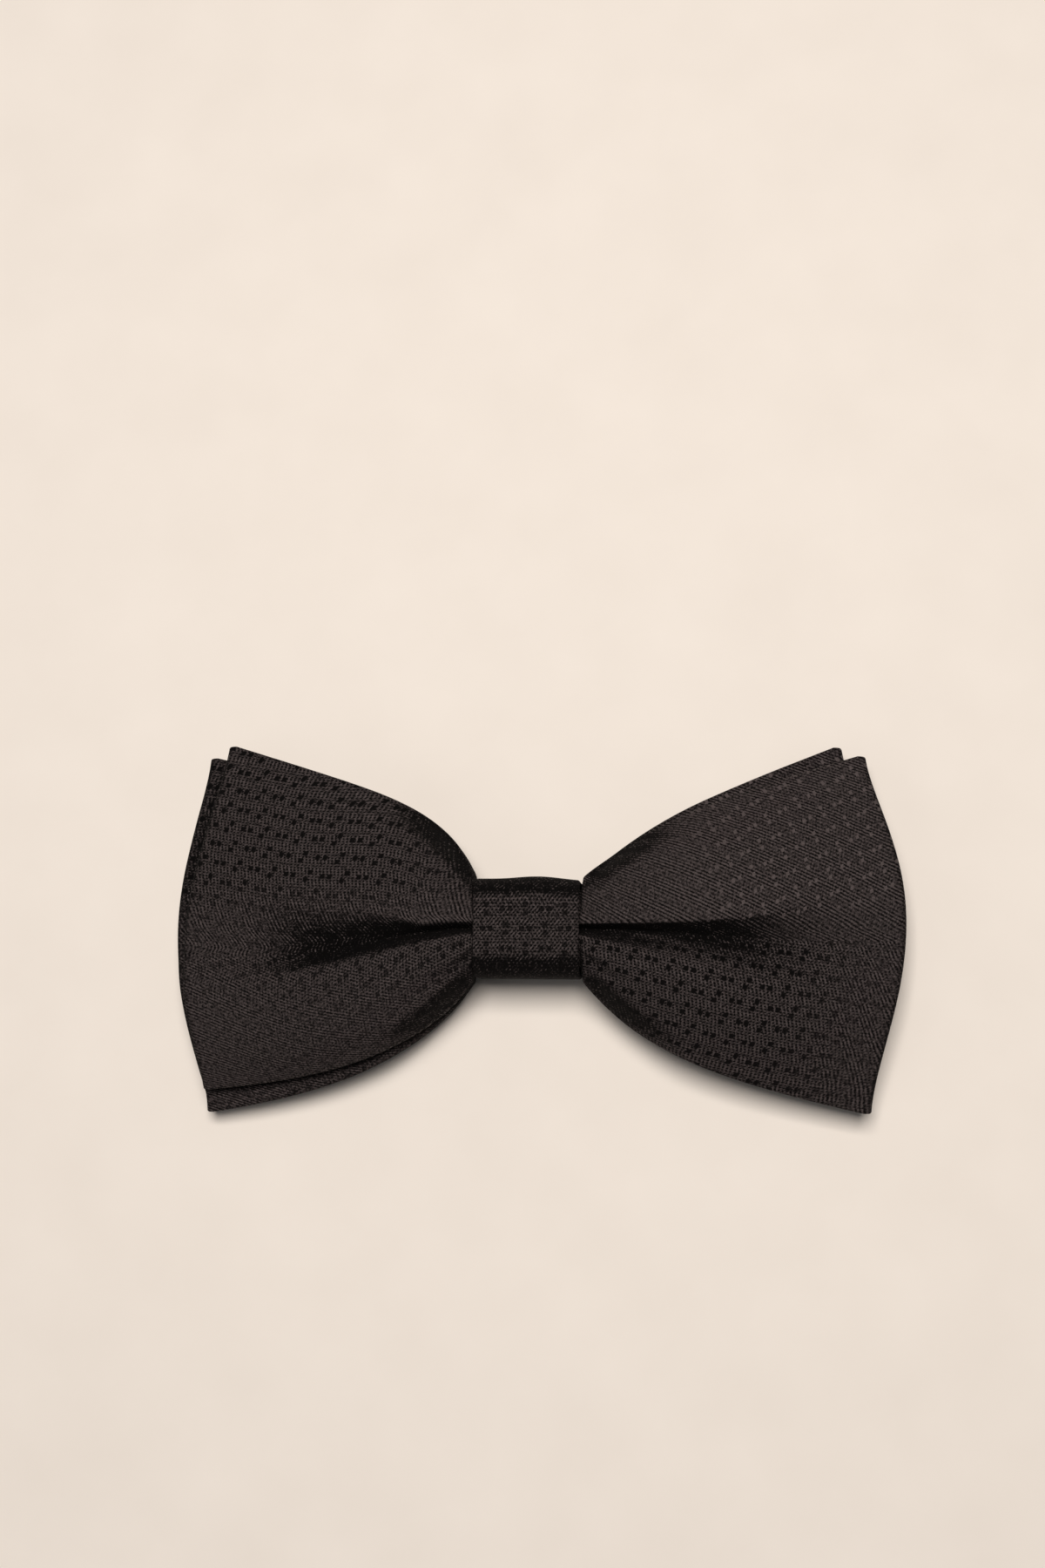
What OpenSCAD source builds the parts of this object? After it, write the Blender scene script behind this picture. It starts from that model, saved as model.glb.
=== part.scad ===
// Pre-tied bow tie lying on its back: two stacked bows of jacquard held by a knot wrap,
// on an adjustable neck band that is folded flat behind them.
// Frame: +X to the viewer's right, +Y up as worn, +Z out of the bow's front, z = 0 is the
// surface it lies on, and x = y = 0 is the centre of the knot.

/* [Bow] */
// Reach of the upper left corner from the knot's centre
left_top_reach = 52.9; // [46:0.1:56]
// Reach of the lower left corner from the knot's centre
left_bottom_reach = 55.9; // [46:0.1:58]
// Reach of the upper right corner from the knot's centre
right_top_reach = 56.2; // [48:0.1:60]
// Reach of the lower right corner from the knot's centre
right_bottom_reach = 56.6; // [48:0.1:60]
// Height of the upper left corner above the knot's centre
left_top_height = 31.4; // [24:0.1:36]
// Depth of the lower left corner below the knot's centre
left_bottom_height = 27.3; // [24:0.1:36]
// Height of the upper right corner above the knot's centre
right_top_height = 29.6; // [24:0.1:36]
// Depth of the lower right corner below the knot's centre
right_bottom_height = 30.1; // [24:0.1:36]
// How far the left wing's folded end bows outward between its corners
left_bulge = 4.6; // [0:0.1:7]
// How far the right wing's folded end bows outward between its corners
right_bulge = 5.8; // [0:0.1:7]
// Turn of the rear bow against the front bow, in degrees
rear_tilt = 3.6; // [0:0.2:5]
// Height of the pleat's lobes beside the knot
lobe_rise = 4.2; // [2:0.1:4.4]
// Height of the pleat's lobes at the folded ends
end_rise = 1; // [0:0.1:1.5]
// How far the left wing's crease drops below the knot's centre
left_valley = 5; // [0:0.1:6]
// How far the right wing's crease drops below the knot's centre
right_valley = 1.8; // [0:0.1:6]
// How far the wing corners droop towards the table
corner_droop = 4; // [0:0.5:5]
// How far the edges roll back beside the knot
edge_roll = 3.2; // [0:0.1:3.5]
// Extra fullness of each looped wing half way out
wing_puff = 0.35; // [0:0.05:0.6]

/* [Cloth] */
// Thickness of a bow panel: two plies with the interlining between them
panel_t = 0.8; // [0.7:0.05:0.85]
// Thickness of one ply of jacquard
ply_t = 0.2; // [0.15:0.05:0.25]
// Thickness of the stiff interlining in the bows
interlining_t = 0.3; // [0.2:0.05:0.3]

/* [Knot] */
// Width of the knot, along X
knot_w = 17.6; // [16:0.1:22]
// Height of the knot, along Y
knot_h = 16.4; // [16.4:0.1:20]
// Thickness of the knot wrap with its hems
wrap_t = 1.1; // [1:0.05:1.2]
// Radius of the knot's rolled front edges
knot_front_r = 4.4; // [3:0.2:5]

/* [Neck band] */
// Width of the neck band
band_w = 14; // [12:0.5:14]
// Thickness of the neck band
band_t = 0.7; // [0.6:0.05:0.7]
// Reach of the band's folds from the knot's centre
fold_reach = 37; // [35:0.5:38]

/* [Fittings] */
// Thickness of the stamped hook and eye
plate_t = 0.8; // [0.6:0.1:0.9]
// Radius of the bars that the band loops round
bar_r = 0.5; // [0.4:0.05:0.5]
// Length of the eye's slot, across the band
slot_l = 10.4; // [8:0.2:11]
// Width of the eye's slot, along the band
slot_w = 4.8; // [4.4:0.1:5]

/* [Hidden] */
$fn = 48;
slack = 0.1;                        // between pieces sewn into one body
running = 0.25;                     // between pieces that slide past each other
jacquard = [0.17, 0.155, 0.15];
lining = [0.62, 0.6, 0.57];
thread = [0.09, 0.085, 0.085];
nickel = [0.72, 0.72, 0.74];

// Heights of the band's runs, from the table up: centres of their thickness
floor_run = band_t / 2;
slide_bar_t = 0.45;                 // the slider's two lower bars
lifted_run = slide_bar_t + 0.15 + band_t / 2;
loop_t = 0.35;                      // a band end without interlining
slide_loop_r = bar_r - 0.05 + loop_t;
slide_bar_z = lifted_run + band_t / 2 + 0.2 + slide_loop_r;
run_pitch = band_t + 0.2;
run_d = slide_bar_z + slide_loop_r + running + band_t / 2;
run_c = run_d + run_pitch;
run_b = run_c + run_pitch;
knot_back = run_b + band_t / 2 + 0.3;
run_a = knot_back + wrap_t + running + band_t / 2;
binding_t = 0.3;
bundle_base = run_a + band_t / 2 + running + binding_t;

// Waist of the bundle inside the knot
knot_half_w = knot_w / 2;
knot_half_h = knot_h / 2;
waist_half = 6.5;                   // half-height of the pleated cloth inside the knot
open_half = 8.3;                    // half-height just outside the knot
panel_gap = 0.8;                    // half the distance between a bow's panels at the waist
end_r = 1;                          // fold radius at the wing ends, on the panel's middle
end_gap = 0.3;                      // between the two bows at the wing ends
rear_waist_z = bundle_base + 0.65 + panel_gap;
front_waist_z = rear_waist_z + 4 * panel_gap;
rear_end_z = bundle_base + end_r + panel_t / 2;
front_end_z = rear_end_z + 2 * end_r + panel_t + end_gap;
pressed = 0.8;                      // share of the lobes' height that is left inside the knot
bundle_top = front_waist_z + panel_gap + pressed * lobe_rise + 0.6;
knot_front = bundle_top + binding_t + slack + wrap_t + 0.15;

// Grid of a bow: stops along a wing from knot to fold, and across it from bottom to top
span_stops = [0, 0.03, 0.08, 0.16, 0.28, 0.42, 0.58, 0.78, 1];
cross_stops = [-1, -0.85, -0.68, -0.48, -0.28, -0.12, 0, 0.1, 0.24, 0.44, 0.66, 0.85, 1];
hem_inset = 0.45;                   // from the cover's edge to the interlining's pocket
back_gap = 0.25;                    // half the gap where the strip's ends meet

// Wing corners as [reach, height], first by side and then bottom and top
front_corners = [
    [[left_bottom_reach, left_bottom_height], [left_top_reach, left_top_height]],
    [[right_bottom_reach, right_bottom_height], [right_top_reach, right_top_height]]
];
// What the rear bow's corners have more than the front's
rear_extra = [[[1, 0.9], [1, 1.1]], [[-2, 0], [-2, -0.9]]];
// Each edge's slope near its corner, and the share of the wing over which it drops to the knot
edge_shape = [[[0.05, 0.32], [0.31, 0.12]], [[0.2, 0.25], [0.3, 0.23]]];

function lerp(a, b, t) = a + (b - a) * t;
function unit(v) = v / norm(v);
function reversed(list) = [for (i = [len(list) - 1 : -1 : 0]) list[i]];

// Smooth step from 0 at a to 1 at b
function smooth(a, b, x) = let (t = min(max((x - a) / (b - a), 0), 1)) t * t * (3 - 2 * t);

// side is -1 on the left wing and 1 on the right one, edge is -1 at the bottom and 1 at the top
function corner(rear, side, edge) = let (i = side > 0 ? 1 : 0, j = edge > 0 ? 1 : 0)
    front_corners[i][j] + (rear ? rear_extra[i][j] : [0, 0]);

// Reach of a wing's folded end at height v, -1 at its bottom corner and 1 at its top one
function end_reach(rear, side, v) =
    lerp(corner(rear, side, -1)[0], corner(rear, side, 1)[0], (v + 1) / 2)
    + (side < 0 ? left_bulge : right_bulge) * pow(max(1 - v * v, 0), 1.6) * (1 + 0.4 * v);

// Distance of a wing's edge from the knot's centre line at u, from the knot at 0 to the corner at 1
function edge_height(rear, side, edge, u) = let (
    outer = corner(rear, side, edge),
    shape = edge_shape[side > 0 ? 1 : 0][edge > 0 ? 1 : 0],
    fall = shape[0] * (outer[0] - knot_half_w),
    near = (exp(-u / shape[1]) - exp(-1 / shape[1])) / (1 - exp(-1 / shape[1])),
    outline = outer[1] - fall * (1 - u) - (outer[1] - fall - open_half) * near
) lerp(waist_half, outline, smooth(0, 0.035, u));
function half_height(rear, side, u) =
    (edge_height(rear, side, 1, u) + edge_height(rear, side, -1, u)) / 2;
function middle_height(rear, side, u) =
    (edge_height(rear, side, 1, u) - edge_height(rear, side, -1, u)) / 2;

// Width of the slope from a wing's crease up to the ridge of its upper lobe
function flank(side, u) = side < 0 ? 0.9 + 22 * max(u - 0.18, 0) : 0.7 + 10 * u * u;

// Height of a wing above its base at a distance d above its valley: two lobes, the crease
// between them, and the edges that roll back beside the knot
function relief(side, u, d, half) = let (
    rise = (end_rise + (lobe_rise - end_rise) * (1 - pow(u, 1.6)))
        * lerp(pressed, 1, smooth(0, 0.15, u)),
    ramp = 1 - d / flank(side, u),
    ridge_r = side < 0 ? 0.06 : 0.012,
    lower_w = side < 0 ? 0.6 + 3 * u : 0.7 + 8.5 * u,
    crease = d > 0 ? (ramp + sqrt(ramp * ramp + ridge_r)) / (1 + sqrt(1 + ridge_r))
        : exp(-pow(d / lower_w, 2)),
    roll = edge_roll * smooth(0, 0.1, u) * (1 - smooth(0.1, 0.42, u))
) rise * (1 - pow(abs(d) / half, 2.4)) - 0.95 * rise * crease
    - roll * pow(smooth(half - 5, half, abs(d)), 1.5);

// The place v on the front bow whose height y above its valley is rise_y, where the bow's edge
// half-height is half and its middle is skew above the valley
function front_v(rise_y, half, skew) = abs(skew) < 0.01 ? rise_y / half
    : (sqrt(max(half * half + 4 * skew * rise_y, 0)) - half) / (2 * skew);

// A point on the middle of a bow's strip. level is -1 on the back panel, 1 on the front one
// and between them round the end fold, where out goes from 0 to 1 and back. u below 0 is the
// strip's middle or its ends, inside the knot. The rear bow nests in the front one: its height
// is read where the front one has it.
function strip_point(rear, side, u, v, level, out) = let (
    span = max(u, 0),
    turn = rear ? side * tan(rear_tilt) : 0,
    drop = (side < 0 ? left_valley : right_valley),
    wing_l = end_reach(rear, side, v) - end_r - knot_half_w,
    valley = -drop * smooth(0, 0.75, span)
        - turn * (end_reach(rear, side, 0) - end_r - knot_half_w) * span,
    y = valley + v * half_height(rear, side, span)
        + v * v * (middle_height(rear, side, span) - valley),
    x = u < 0 ? (level < 0 ? back_gap : 0) : knot_half_w + wing_l * span,
    turned_x = x - turn * y * span,
    turned_y = y + turn * max(x - knot_half_w, 0),
    front_u = max(turned_x - knot_half_w, 0) / (end_reach(false, side, v) - end_r - knot_half_w),
    front_half = half_height(false, side, front_u),
    front_valley = -drop * smooth(0, 0.75, front_u),
    skew = middle_height(false, side, front_u) - front_valley,
    d_v = min(max(front_v(turned_y - front_valley, front_half, skew), -1.04), 1.04),
    puff = wing_puff * 4 * span * (1 - span) * (1 - v * v),
    layer_z = rear ? lerp(rear_waist_z, rear_end_z, span) + puff
                   : lerp(front_waist_z, front_end_z, span) + 3 * puff,
    gap = lerp(panel_gap, end_r, span) + puff
) [
    side * (turned_x + out * end_r),
    turned_y,
    layer_z + level * gap + relief(side, front_u, d_v * front_half, front_half)
        - corner_droop * pow(front_u, 1.5) * d_v * d_v
];

// The strip's stops as [side, u, level, out], from its end at the back, out round the left
// wing, across the front, round the right wing and back
function fold_stops(side, angles) = [for (a = angles) [side, 1, sin(a), cos(a)]];
function panel_stops(side, spans, level) = [for (u = spans) [side, u, level, 0]];
strip_stops = concat(
    [[-1, -1, -1, 0]],
    panel_stops(-1, span_stops, -1),
    fold_stops(-1, [-45, 0, 45]),
    panel_stops(-1, reversed(span_stops), 1),
    [[1, -1, 1, 0]],
    panel_stops(1, span_stops, 1),
    fold_stops(1, [45, 0, -45]),
    panel_stops(1, reversed(span_stops), -1),
    [[1, -1, -1, 0]]
);
function strip_grid(rear) = [
    for (s = strip_stops) [for (v = cross_stops) strip_point(rear, s[0], s[1], v, s[2], s[3])]
];

// One ring round the strip at stop i: half a thickness out on one side, then back on the other
function strip_ring(grid, i, half_t, inset) = let (
    row = grid[i],
    last = len(row) - 1,
    stop = strip_stops[i],
    lift = [stop[0] * stop[3], 0, stop[2]] * half_t,
    first_in = row[0] + unit(row[1] - row[0]) * inset,
    last_in = row[last] + unit(row[last - 1] - row[last]) * inset,
    middle = [for (j = [0 : last]) j == 0 ? first_in : j == last ? last_in : row[j]]
) concat([for (p = middle) p + lift], reversed([for (p = middle) p - lift]));
function strip_rings(grid, half_t, inset) =
    [for (i = [0 : len(grid) - 1]) each strip_ring(grid, i, half_t, inset)];

// The skin of a strip. Each quad is cut along the diagonal that the panels above and below it
// have too, so that their facets stay parallel.
function quad(a, b, c, d) = [[a, b, c], [a, c, d]];
function skin_faces(rings, n, base) = [
    for (i = [0 : rings - 2], k = [0 : n - 1]) let (
        a = base + i * n + k,
        b = base + i * n + (k + 1) % n,
        outward = strip_stops[i][0] * strip_stops[i][2] > 0
    ) each ((k < n / 2) == outward ? quad(a, b, b + n, a + n) : quad(b, b + n, a + n, a))
];
function flipped(faces) = [for (f = faces) reversed(f)];

// A closed strip with nothing inside
module solid_strip(grid, half_t, inset) {
    n = 2 * len(grid[0]);
    last = (len(grid) - 1) * n;
    first_cap = [for (k = [0 : n / 2 - 2]) each quad(k, n - 1 - k, n - 2 - k, k + 1)];
    last_cap = [for (f = flipped(first_cap)) [f[0] + last, f[1] + last, f[2] + last]];
    polyhedron(strip_rings(grid, half_t, inset),
        concat(skin_faces(len(grid), n, 0), first_cap, last_cap), convexity = 10);
}

// A strip that is a flattened tube, open at both ends
module tube_strip(grid, half_t, pocket_half_t, pocket_inset) {
    n = 2 * len(grid[0]);
    base = len(grid) * n;
    last = base - n;
    first_cap = [for (k = [0 : n - 1]) let (m = (k + 1) % n) each quad(k, base + k, base + m, m)];
    last_cap = [for (f = flipped(first_cap)) [f[0] + last, f[1] + last, f[2] + last]];
    polyhedron(
        concat(strip_rings(grid, half_t, 0), strip_rings(grid, pocket_half_t, pocket_inset)),
        concat(skin_faces(len(grid), n, 0), flipped(skin_faces(len(grid), n, base)),
            first_cap, last_cap), convexity = 10);
}

module bow_cover(rear) {
    pocket = panel_t / 2 - ply_t;
    tube_strip(strip_grid(rear), panel_t / 2, pocket, hem_inset);
}
module bow_interlining(rear) {
    solid_strip(strip_grid(rear), interlining_t / 2, hem_inset + slack);
}
module front_bow_cover() { color(jacquard) bow_cover(false); }
module rear_bow_cover() { color(jacquard) bow_cover(true); }
module front_bow_interlining() { color(lining) bow_interlining(false); }
module rear_bow_interlining() { color(lining) bow_interlining(true); }

// Outline across the knot, drawn in Y and Z: square-cornered at the back, rolled at the front
module knot_outline(half, back, front, back_r, front_r) {
    for (side = [-1, 1]) {
        translate([side * (half - back_r), back + back_r]) circle(back_r);
        translate([side * (half - front_r), front - front_r]) circle(front_r);
    }
    translate([-half, back + back_r]) square([2 * half, front - front_r - back - back_r]);
    translate([-half + back_r, back]) square([2 * (half - back_r), back_r]);
    translate([-half + front_r, front - front_r]) square([2 * (half - front_r), front_r]);
}
// A ring across the knot, inset from its outer surface between two depths, w wide along X
module knot_ring(w, outer, inner) {
    back_r = 1.6;
    rotate([90, 0, 90]) translate([0, 0, -w / 2]) linear_extrude(w) difference() {
        knot_outline(knot_half_h - outer, knot_back + outer, knot_front - outer,
            back_r - outer, knot_front_r - outer);
        knot_outline(knot_half_h - inner, knot_back + inner, knot_front - inner,
            back_r - inner, knot_front_r - inner);
    }
}
wrap_ply = 0.3;
hem_w = 5;                          // width of the wrap's turned-in edges
seam_groove = 0.3;                  // depth of the closing seam at the knot's back
seam_w = 3;
module knot_wrap() {
    pocket_w = knot_w - 2 * wrap_ply - 0.2;
    color(jacquard) difference() {
        knot_ring(knot_w, 0, wrap_t);
        knot_ring(pocket_w, wrap_ply, wrap_t - wrap_ply);
        knot_ring(knot_w - 2 * hem_w, wrap_t - wrap_ply - 0.05, wrap_t + 0.05);
        translate([-knot_w / 2 - 1, -seam_w / 2, knot_back - 1])
            cube([knot_w + 2, seam_w, 1 + seam_groove - 0.05]);
    }
}
module knot_interlining() {
    color(lining) knot_ring(knot_w - 2 * wrap_ply - 0.4, wrap_ply + 0.03, wrap_t - wrap_ply - 0.03);
}
// Whip stitches across the closing seam
stitch_r = 0.12;
module knot_closing_stitches() {
    count = 8;
    color(thread) for (i = [0 : count - 1])
        translate([(i - (count - 1) / 2) * 2.1, 0, knot_back + seam_groove - 0.05 - stitch_r])
            rotate([90, 0, 0]) cylinder(r = stitch_r, h = seam_w - 0.4, center = true, $fn = 16);
}
// Thread wound tight round the pleated waist of both bows, under the knot wrap
module waist_binding_thread() {
    turns = 5;
    pitch = 0.8;
    half = waist_half + slack;
    corner_r = 3.4;
    color(thread) rotate([90, 0, 90]) {
        for (i = [0 : turns - 1]) translate([0, 0, (i - (turns - 1) / 2) * pitch - 0.25])
            linear_extrude(0.5) difference() {
                knot_outline(half + binding_t, bundle_base - binding_t, bundle_top + binding_t,
                    0.7, corner_r + binding_t);
                knot_outline(half, bundle_base, bundle_top, 0.4, corner_r);
            }
        translate([-1, bundle_top, -(turns - 1) / 2 * pitch])
            cube([2, binding_t, (turns - 1) * pitch]);
    }
}

// The band's course is drawn in X and Z and pushed through its width along Y
module across_band(w) { rotate([90, 0, 0]) linear_extrude(w, center = true) children(); }
module run(x0, x1, z, t) { translate([min(x0, x1), z - t / 2]) square([abs(x1 - x0), t]); }
module ramp(x0, z0, x1, z1, t) {
    polygon([[x0, z0 - t / 2], [x1, z1 - t / 2], [x1, z1 + t / 2], [x0, z0 + t / 2]]);
}
// A half-round fold at x between heights z0 and z1, opening away from side
module band_fold(x, z0, z1, side, t) {
    r = abs(z1 - z0) / 2;
    translate([x, (z0 + z1) / 2]) intersection() {
        difference() {
            circle(r + t / 2);
            circle(r - t / 2);
        }
        translate([side > 0 ? 0 : -r - t, -r - t]) square([r + t, 2 * (r + t)]);
    }
}
ramp_start = 3;                     // where the lowest run starts to lift over the slider's bars
ramp_end = 7;
strap_end = 38;                     // end of the strap's fixed part, at the hook
eye_x = -42.2;
eye_z = run_a - 0.85;
hook_x = 42.2;
hook_z = lifted_run + 0.7;
module band_course(t, trim = 0) {
    run(eye_x + 5 + trim, fold_reach, run_a, t);
    band_fold(fold_reach, run_a, run_b, 1, t);
    run(-fold_reach, fold_reach, run_b, t);
    band_fold(-fold_reach, run_b, run_c, -1, t);
    run(-fold_reach, fold_reach, run_c, t);
    band_fold(fold_reach, run_c, run_d, 1, t);
    run(-fold_reach, fold_reach, run_d, t);
    band_fold(-fold_reach, run_d, floor_run, -1, t);
    run(-fold_reach, ramp_start, floor_run, t);
    ramp(ramp_start, floor_run, ramp_end, lifted_run, t);
    run(ramp_end, strap_end - trim, lifted_run, t);
}
// The band's end round a bar: a ring at x, z and two arms towards side, that end at arm_x
module bar_loop(x, z, r, t, side, upper_x, lower_x) {
    translate([x, z]) difference() {
        circle(r + t);
        circle(r);
        translate([side > 0 ? 0 : -2 * r, -2 * r]) square([2 * r, 4 * r]);
    }
    run(x, upper_x, z + r + t / 2, t);
    run(x, lower_x, z - r - t / 2, t);
}
loop_r = bar_r + slack;
eye_tail_x = -30;
module neck_band() {
    pocket_t = band_t - 2 * ply_t;
    color(jacquard) {
        difference() {
            across_band(band_w) band_course(band_t);
            across_band(band_w - 2 * hem_inset) band_course(pocket_t);
        }
        across_band(band_w) {
            bar_loop(eye_x, eye_z, loop_r, loop_t, 1, eye_x + 2, eye_tail_x);
            ramp(eye_x + 2, eye_z + loop_r + loop_t / 2, eye_x + 5, run_a, loop_t);
        }
    }
}
module neck_band_interlining() {
    color(lining) across_band(band_w - 2 * hem_inset - slack)
        band_course(band_t - 2 * ply_t - 0.06, 0.8);
}
// Running stitches across the band, at x on a surface at z, laid on its upper or lower side
module stitch_row(x, z, side) {
    count = 6;
    pitch = band_w / count;
    for (i = [0 : count - 1])
        translate([x, (i - (count - 1) / 2) * pitch, z + side * stitch_r])
            rotate([90, 0, 0]) cylinder(r = stitch_r, h = pitch * 0.65, center = true, $fn = 16);
}
module eye_end_stitches() {
    color(thread) for (x = [eye_tail_x - 1, eye_tail_x - 4]) {
        stitch_row(x, run_a + band_t / 2, 1);
        stitch_row(x, eye_z - loop_r - loop_t, -1);
    }
}

fitting_w = 17;                     // overall width of the hook and the eye
rail_w = 1.1;
// Bar with the side arms that carry it, in the plane of the plate, reaching towards side
module bar_frame(side, cross_x) {
    arm_l = abs(cross_x);
    rotate([90, 0, 0]) cylinder(r = bar_r, h = fitting_w - rail_w, center = true);
    for (y = [-1, 1]) {
        translate([side > 0 ? 0 : -arm_l, y * (fitting_w - rail_w) / 2 - rail_w / 2, -plate_t / 2])
            cube([arm_l, rail_w, plate_t]);
        translate([0, y * (fitting_w - rail_w) / 2, 0])
            rotate([90, 0, 0]) cylinder(r = bar_r + 0.1, h = rail_w, center = true);
    }
}
cross_gap = loop_r + loop_t + 0.35; // from the bar's centre to the plate beyond the loop
module eye() {
    plate_l = slot_w + 4.2;
    slot_x = -cross_gap - 2.2 - slot_w;
    corner_r = 2.5;
    color(nickel) translate([eye_x, 0, eye_z]) {
        bar_frame(-1, cross_gap + 0.5);
        difference() {
            translate([0, 0, -plate_t / 2]) linear_extrude(plate_t) {
                translate([-cross_gap - plate_l + corner_r, -fitting_w / 2])
                    square([plate_l - corner_r, fitting_w]);
                for (y = [-1, 1])
                    translate([-cross_gap - plate_l + corner_r, y * (fitting_w / 2 - corner_r)])
                        circle(corner_r);
                translate([-cross_gap - plate_l, -fitting_w / 2 + corner_r])
                    square([corner_r + 0.1, fitting_w - 2 * corner_r]);
            }
            translate([slot_x, -slot_l / 2, -plate_t]) cube([slot_w, slot_l, 2 * plate_t]);
        }
    }
}
module band_hook_loop() {
    color(jacquard) across_band(band_w)
        bar_loop(hook_x, hook_z, loop_r, loop_t, -1, hook_x - 16.2, strap_end + 0.3);
}
module hook() {
    tongue_w = 6.5;
    shoulder_l = 2;
    tongue_end = 10.3;
    bend_r = 1.1;                   // on the middle of the tongue's thickness
    return_l = 3.6;
    color(nickel) translate([hook_x, 0, hook_z]) {
        bar_frame(1, cross_gap + 0.5);
        translate([0, 0, -plate_t / 2]) linear_extrude(plate_t) {
            translate([cross_gap, -fitting_w / 2]) square([shoulder_l, fitting_w]);
            polygon([[cross_gap + shoulder_l, -fitting_w / 2], [cross_gap + 4.5, -tongue_w / 2],
                [tongue_end, -tongue_w / 2], [tongue_end, tongue_w / 2],
                [cross_gap + 4.5, tongue_w / 2], [cross_gap + shoulder_l, fitting_w / 2]]);
        }
        across_band(tongue_w) {
            band_fold(tongue_end, 0, 2 * bend_r, 1, plate_t);
            run(tongue_end, tongue_end - return_l, 2 * bend_r, plate_t);
        }
    }
}

slider_x = 13;
slider_l = 8;
slider_bar_w = 1.3;
slider_bar_r = bar_r - 0.1;
rail_gap = 0.25;
module slider() {
    rail_y = band_w / 2 + rail_gap;
    rail_top = slide_bar_z + slider_bar_r;
    color(nickel) translate([slider_x, 0, 0]) {
        for (side = [-1, 1]) {
            translate([side * (slider_l - slider_bar_w) / 2 - slider_bar_w / 2, -rail_y - 0.5, 0])
                cube([slider_bar_w, 2 * rail_y + 1, slide_bar_t]);
            translate([0, side * (rail_y + rail_w / 2), 0]) rotate([90, 0, 0])
                linear_extrude(rail_w, center = true)
                    polygon([[-slider_l / 2, 0], [slider_l / 2, 0], [slider_l / 2, slide_bar_t],
                        [1.2, rail_top], [-1.2, rail_top], [-slider_l / 2, slide_bar_t]]);
        }
        translate([0, 0, slide_bar_z]) rotate([90, 0, 0])
            cylinder(r = slider_bar_r, h = 2 * rail_y + 1, center = true);
    }
}
tab_end = slider_x + 4.5;
module band_slider_tab() {
    color(jacquard) across_band(band_w) {
        translate([slider_x, slide_bar_z]) difference() {
            circle(slide_loop_r);
            circle(slider_bar_r + 0.05);
        }
        difference() {
            run(slider_x, tab_end, slide_bar_z, 2 * loop_t);
            translate([slider_x, slide_bar_z]) circle(slide_loop_r - 0.1);
        }
    }
}
module slider_tab_stitches() {
    color(thread) for (x = [tab_end - 1, tab_end - 2.2])
        stitch_row(x, slide_bar_z + loop_t, 1);
}

front_bow_cover();
front_bow_interlining();
rear_bow_cover();
rear_bow_interlining();
waist_binding_thread();
knot_wrap();
knot_interlining();
knot_closing_stitches();
neck_band();
neck_band_interlining();
eye_end_stitches();
eye();
band_hook_loop();
hook();
slider();
band_slider_tab();
slider_tab_stitches();
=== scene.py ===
import math

import bpy
import numpy as np
from mathutils import Matrix, Vector


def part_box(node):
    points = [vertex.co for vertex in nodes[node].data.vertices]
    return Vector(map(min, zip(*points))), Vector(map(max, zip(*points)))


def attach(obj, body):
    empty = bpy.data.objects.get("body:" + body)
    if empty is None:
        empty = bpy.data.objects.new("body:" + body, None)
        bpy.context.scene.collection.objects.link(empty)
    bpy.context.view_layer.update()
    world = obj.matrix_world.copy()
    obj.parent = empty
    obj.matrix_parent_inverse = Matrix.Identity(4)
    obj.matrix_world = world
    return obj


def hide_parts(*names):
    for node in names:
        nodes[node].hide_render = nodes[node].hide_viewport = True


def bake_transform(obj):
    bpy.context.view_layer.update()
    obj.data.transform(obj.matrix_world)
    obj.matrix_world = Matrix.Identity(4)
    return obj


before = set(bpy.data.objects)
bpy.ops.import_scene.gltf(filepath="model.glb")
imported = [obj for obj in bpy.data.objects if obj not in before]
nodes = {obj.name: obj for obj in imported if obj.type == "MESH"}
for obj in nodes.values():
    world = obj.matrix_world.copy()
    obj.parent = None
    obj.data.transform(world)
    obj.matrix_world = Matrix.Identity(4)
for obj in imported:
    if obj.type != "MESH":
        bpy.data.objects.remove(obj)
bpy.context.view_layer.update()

# A pre-tied bow tie of charcoal jacquard. Lengths are in millimetres until a mesh is made.
MM = 0.001


def span_mm(node, axis):
    """Lowest and highest coordinate of a CAD node along an axis, in millimetres."""
    low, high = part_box(node)
    return low[axis] / MM, high[axis] / MM


# ---------------------------------------------------------------- sizes
knot_half_w = span_mm("knot_wrap", 0)[1]
knot_half_h = span_mm("knot_wrap", 1)[1]
knot_back, knot_front = span_mm("knot_wrap", 2)
band_half_w = span_mm("neck_band", 1)[1]
band_top = span_mm("neck_band", 2)[1]

# A wing's corners as (reach, height), the slope of its edges near the corners, and the share of
# the wing's length over which each edge drops to the knot
WINGS = {
    -1: dict(top=(52.1, 31.4), bottom=(55.1, 27.3), top_slope=0.31, bottom_slope=0.05,
             top_drop=0.12, bottom_drop=0.32, bulge=4.6, valley=-5.0),
    1: dict(top=(56.2, 29.6), bottom=(56.6, 30.1), top_slope=0.30, bottom_slope=0.20,
            top_drop=0.23, bottom_drop=0.25, bulge=5.8, valley=-1.8),
}
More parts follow.
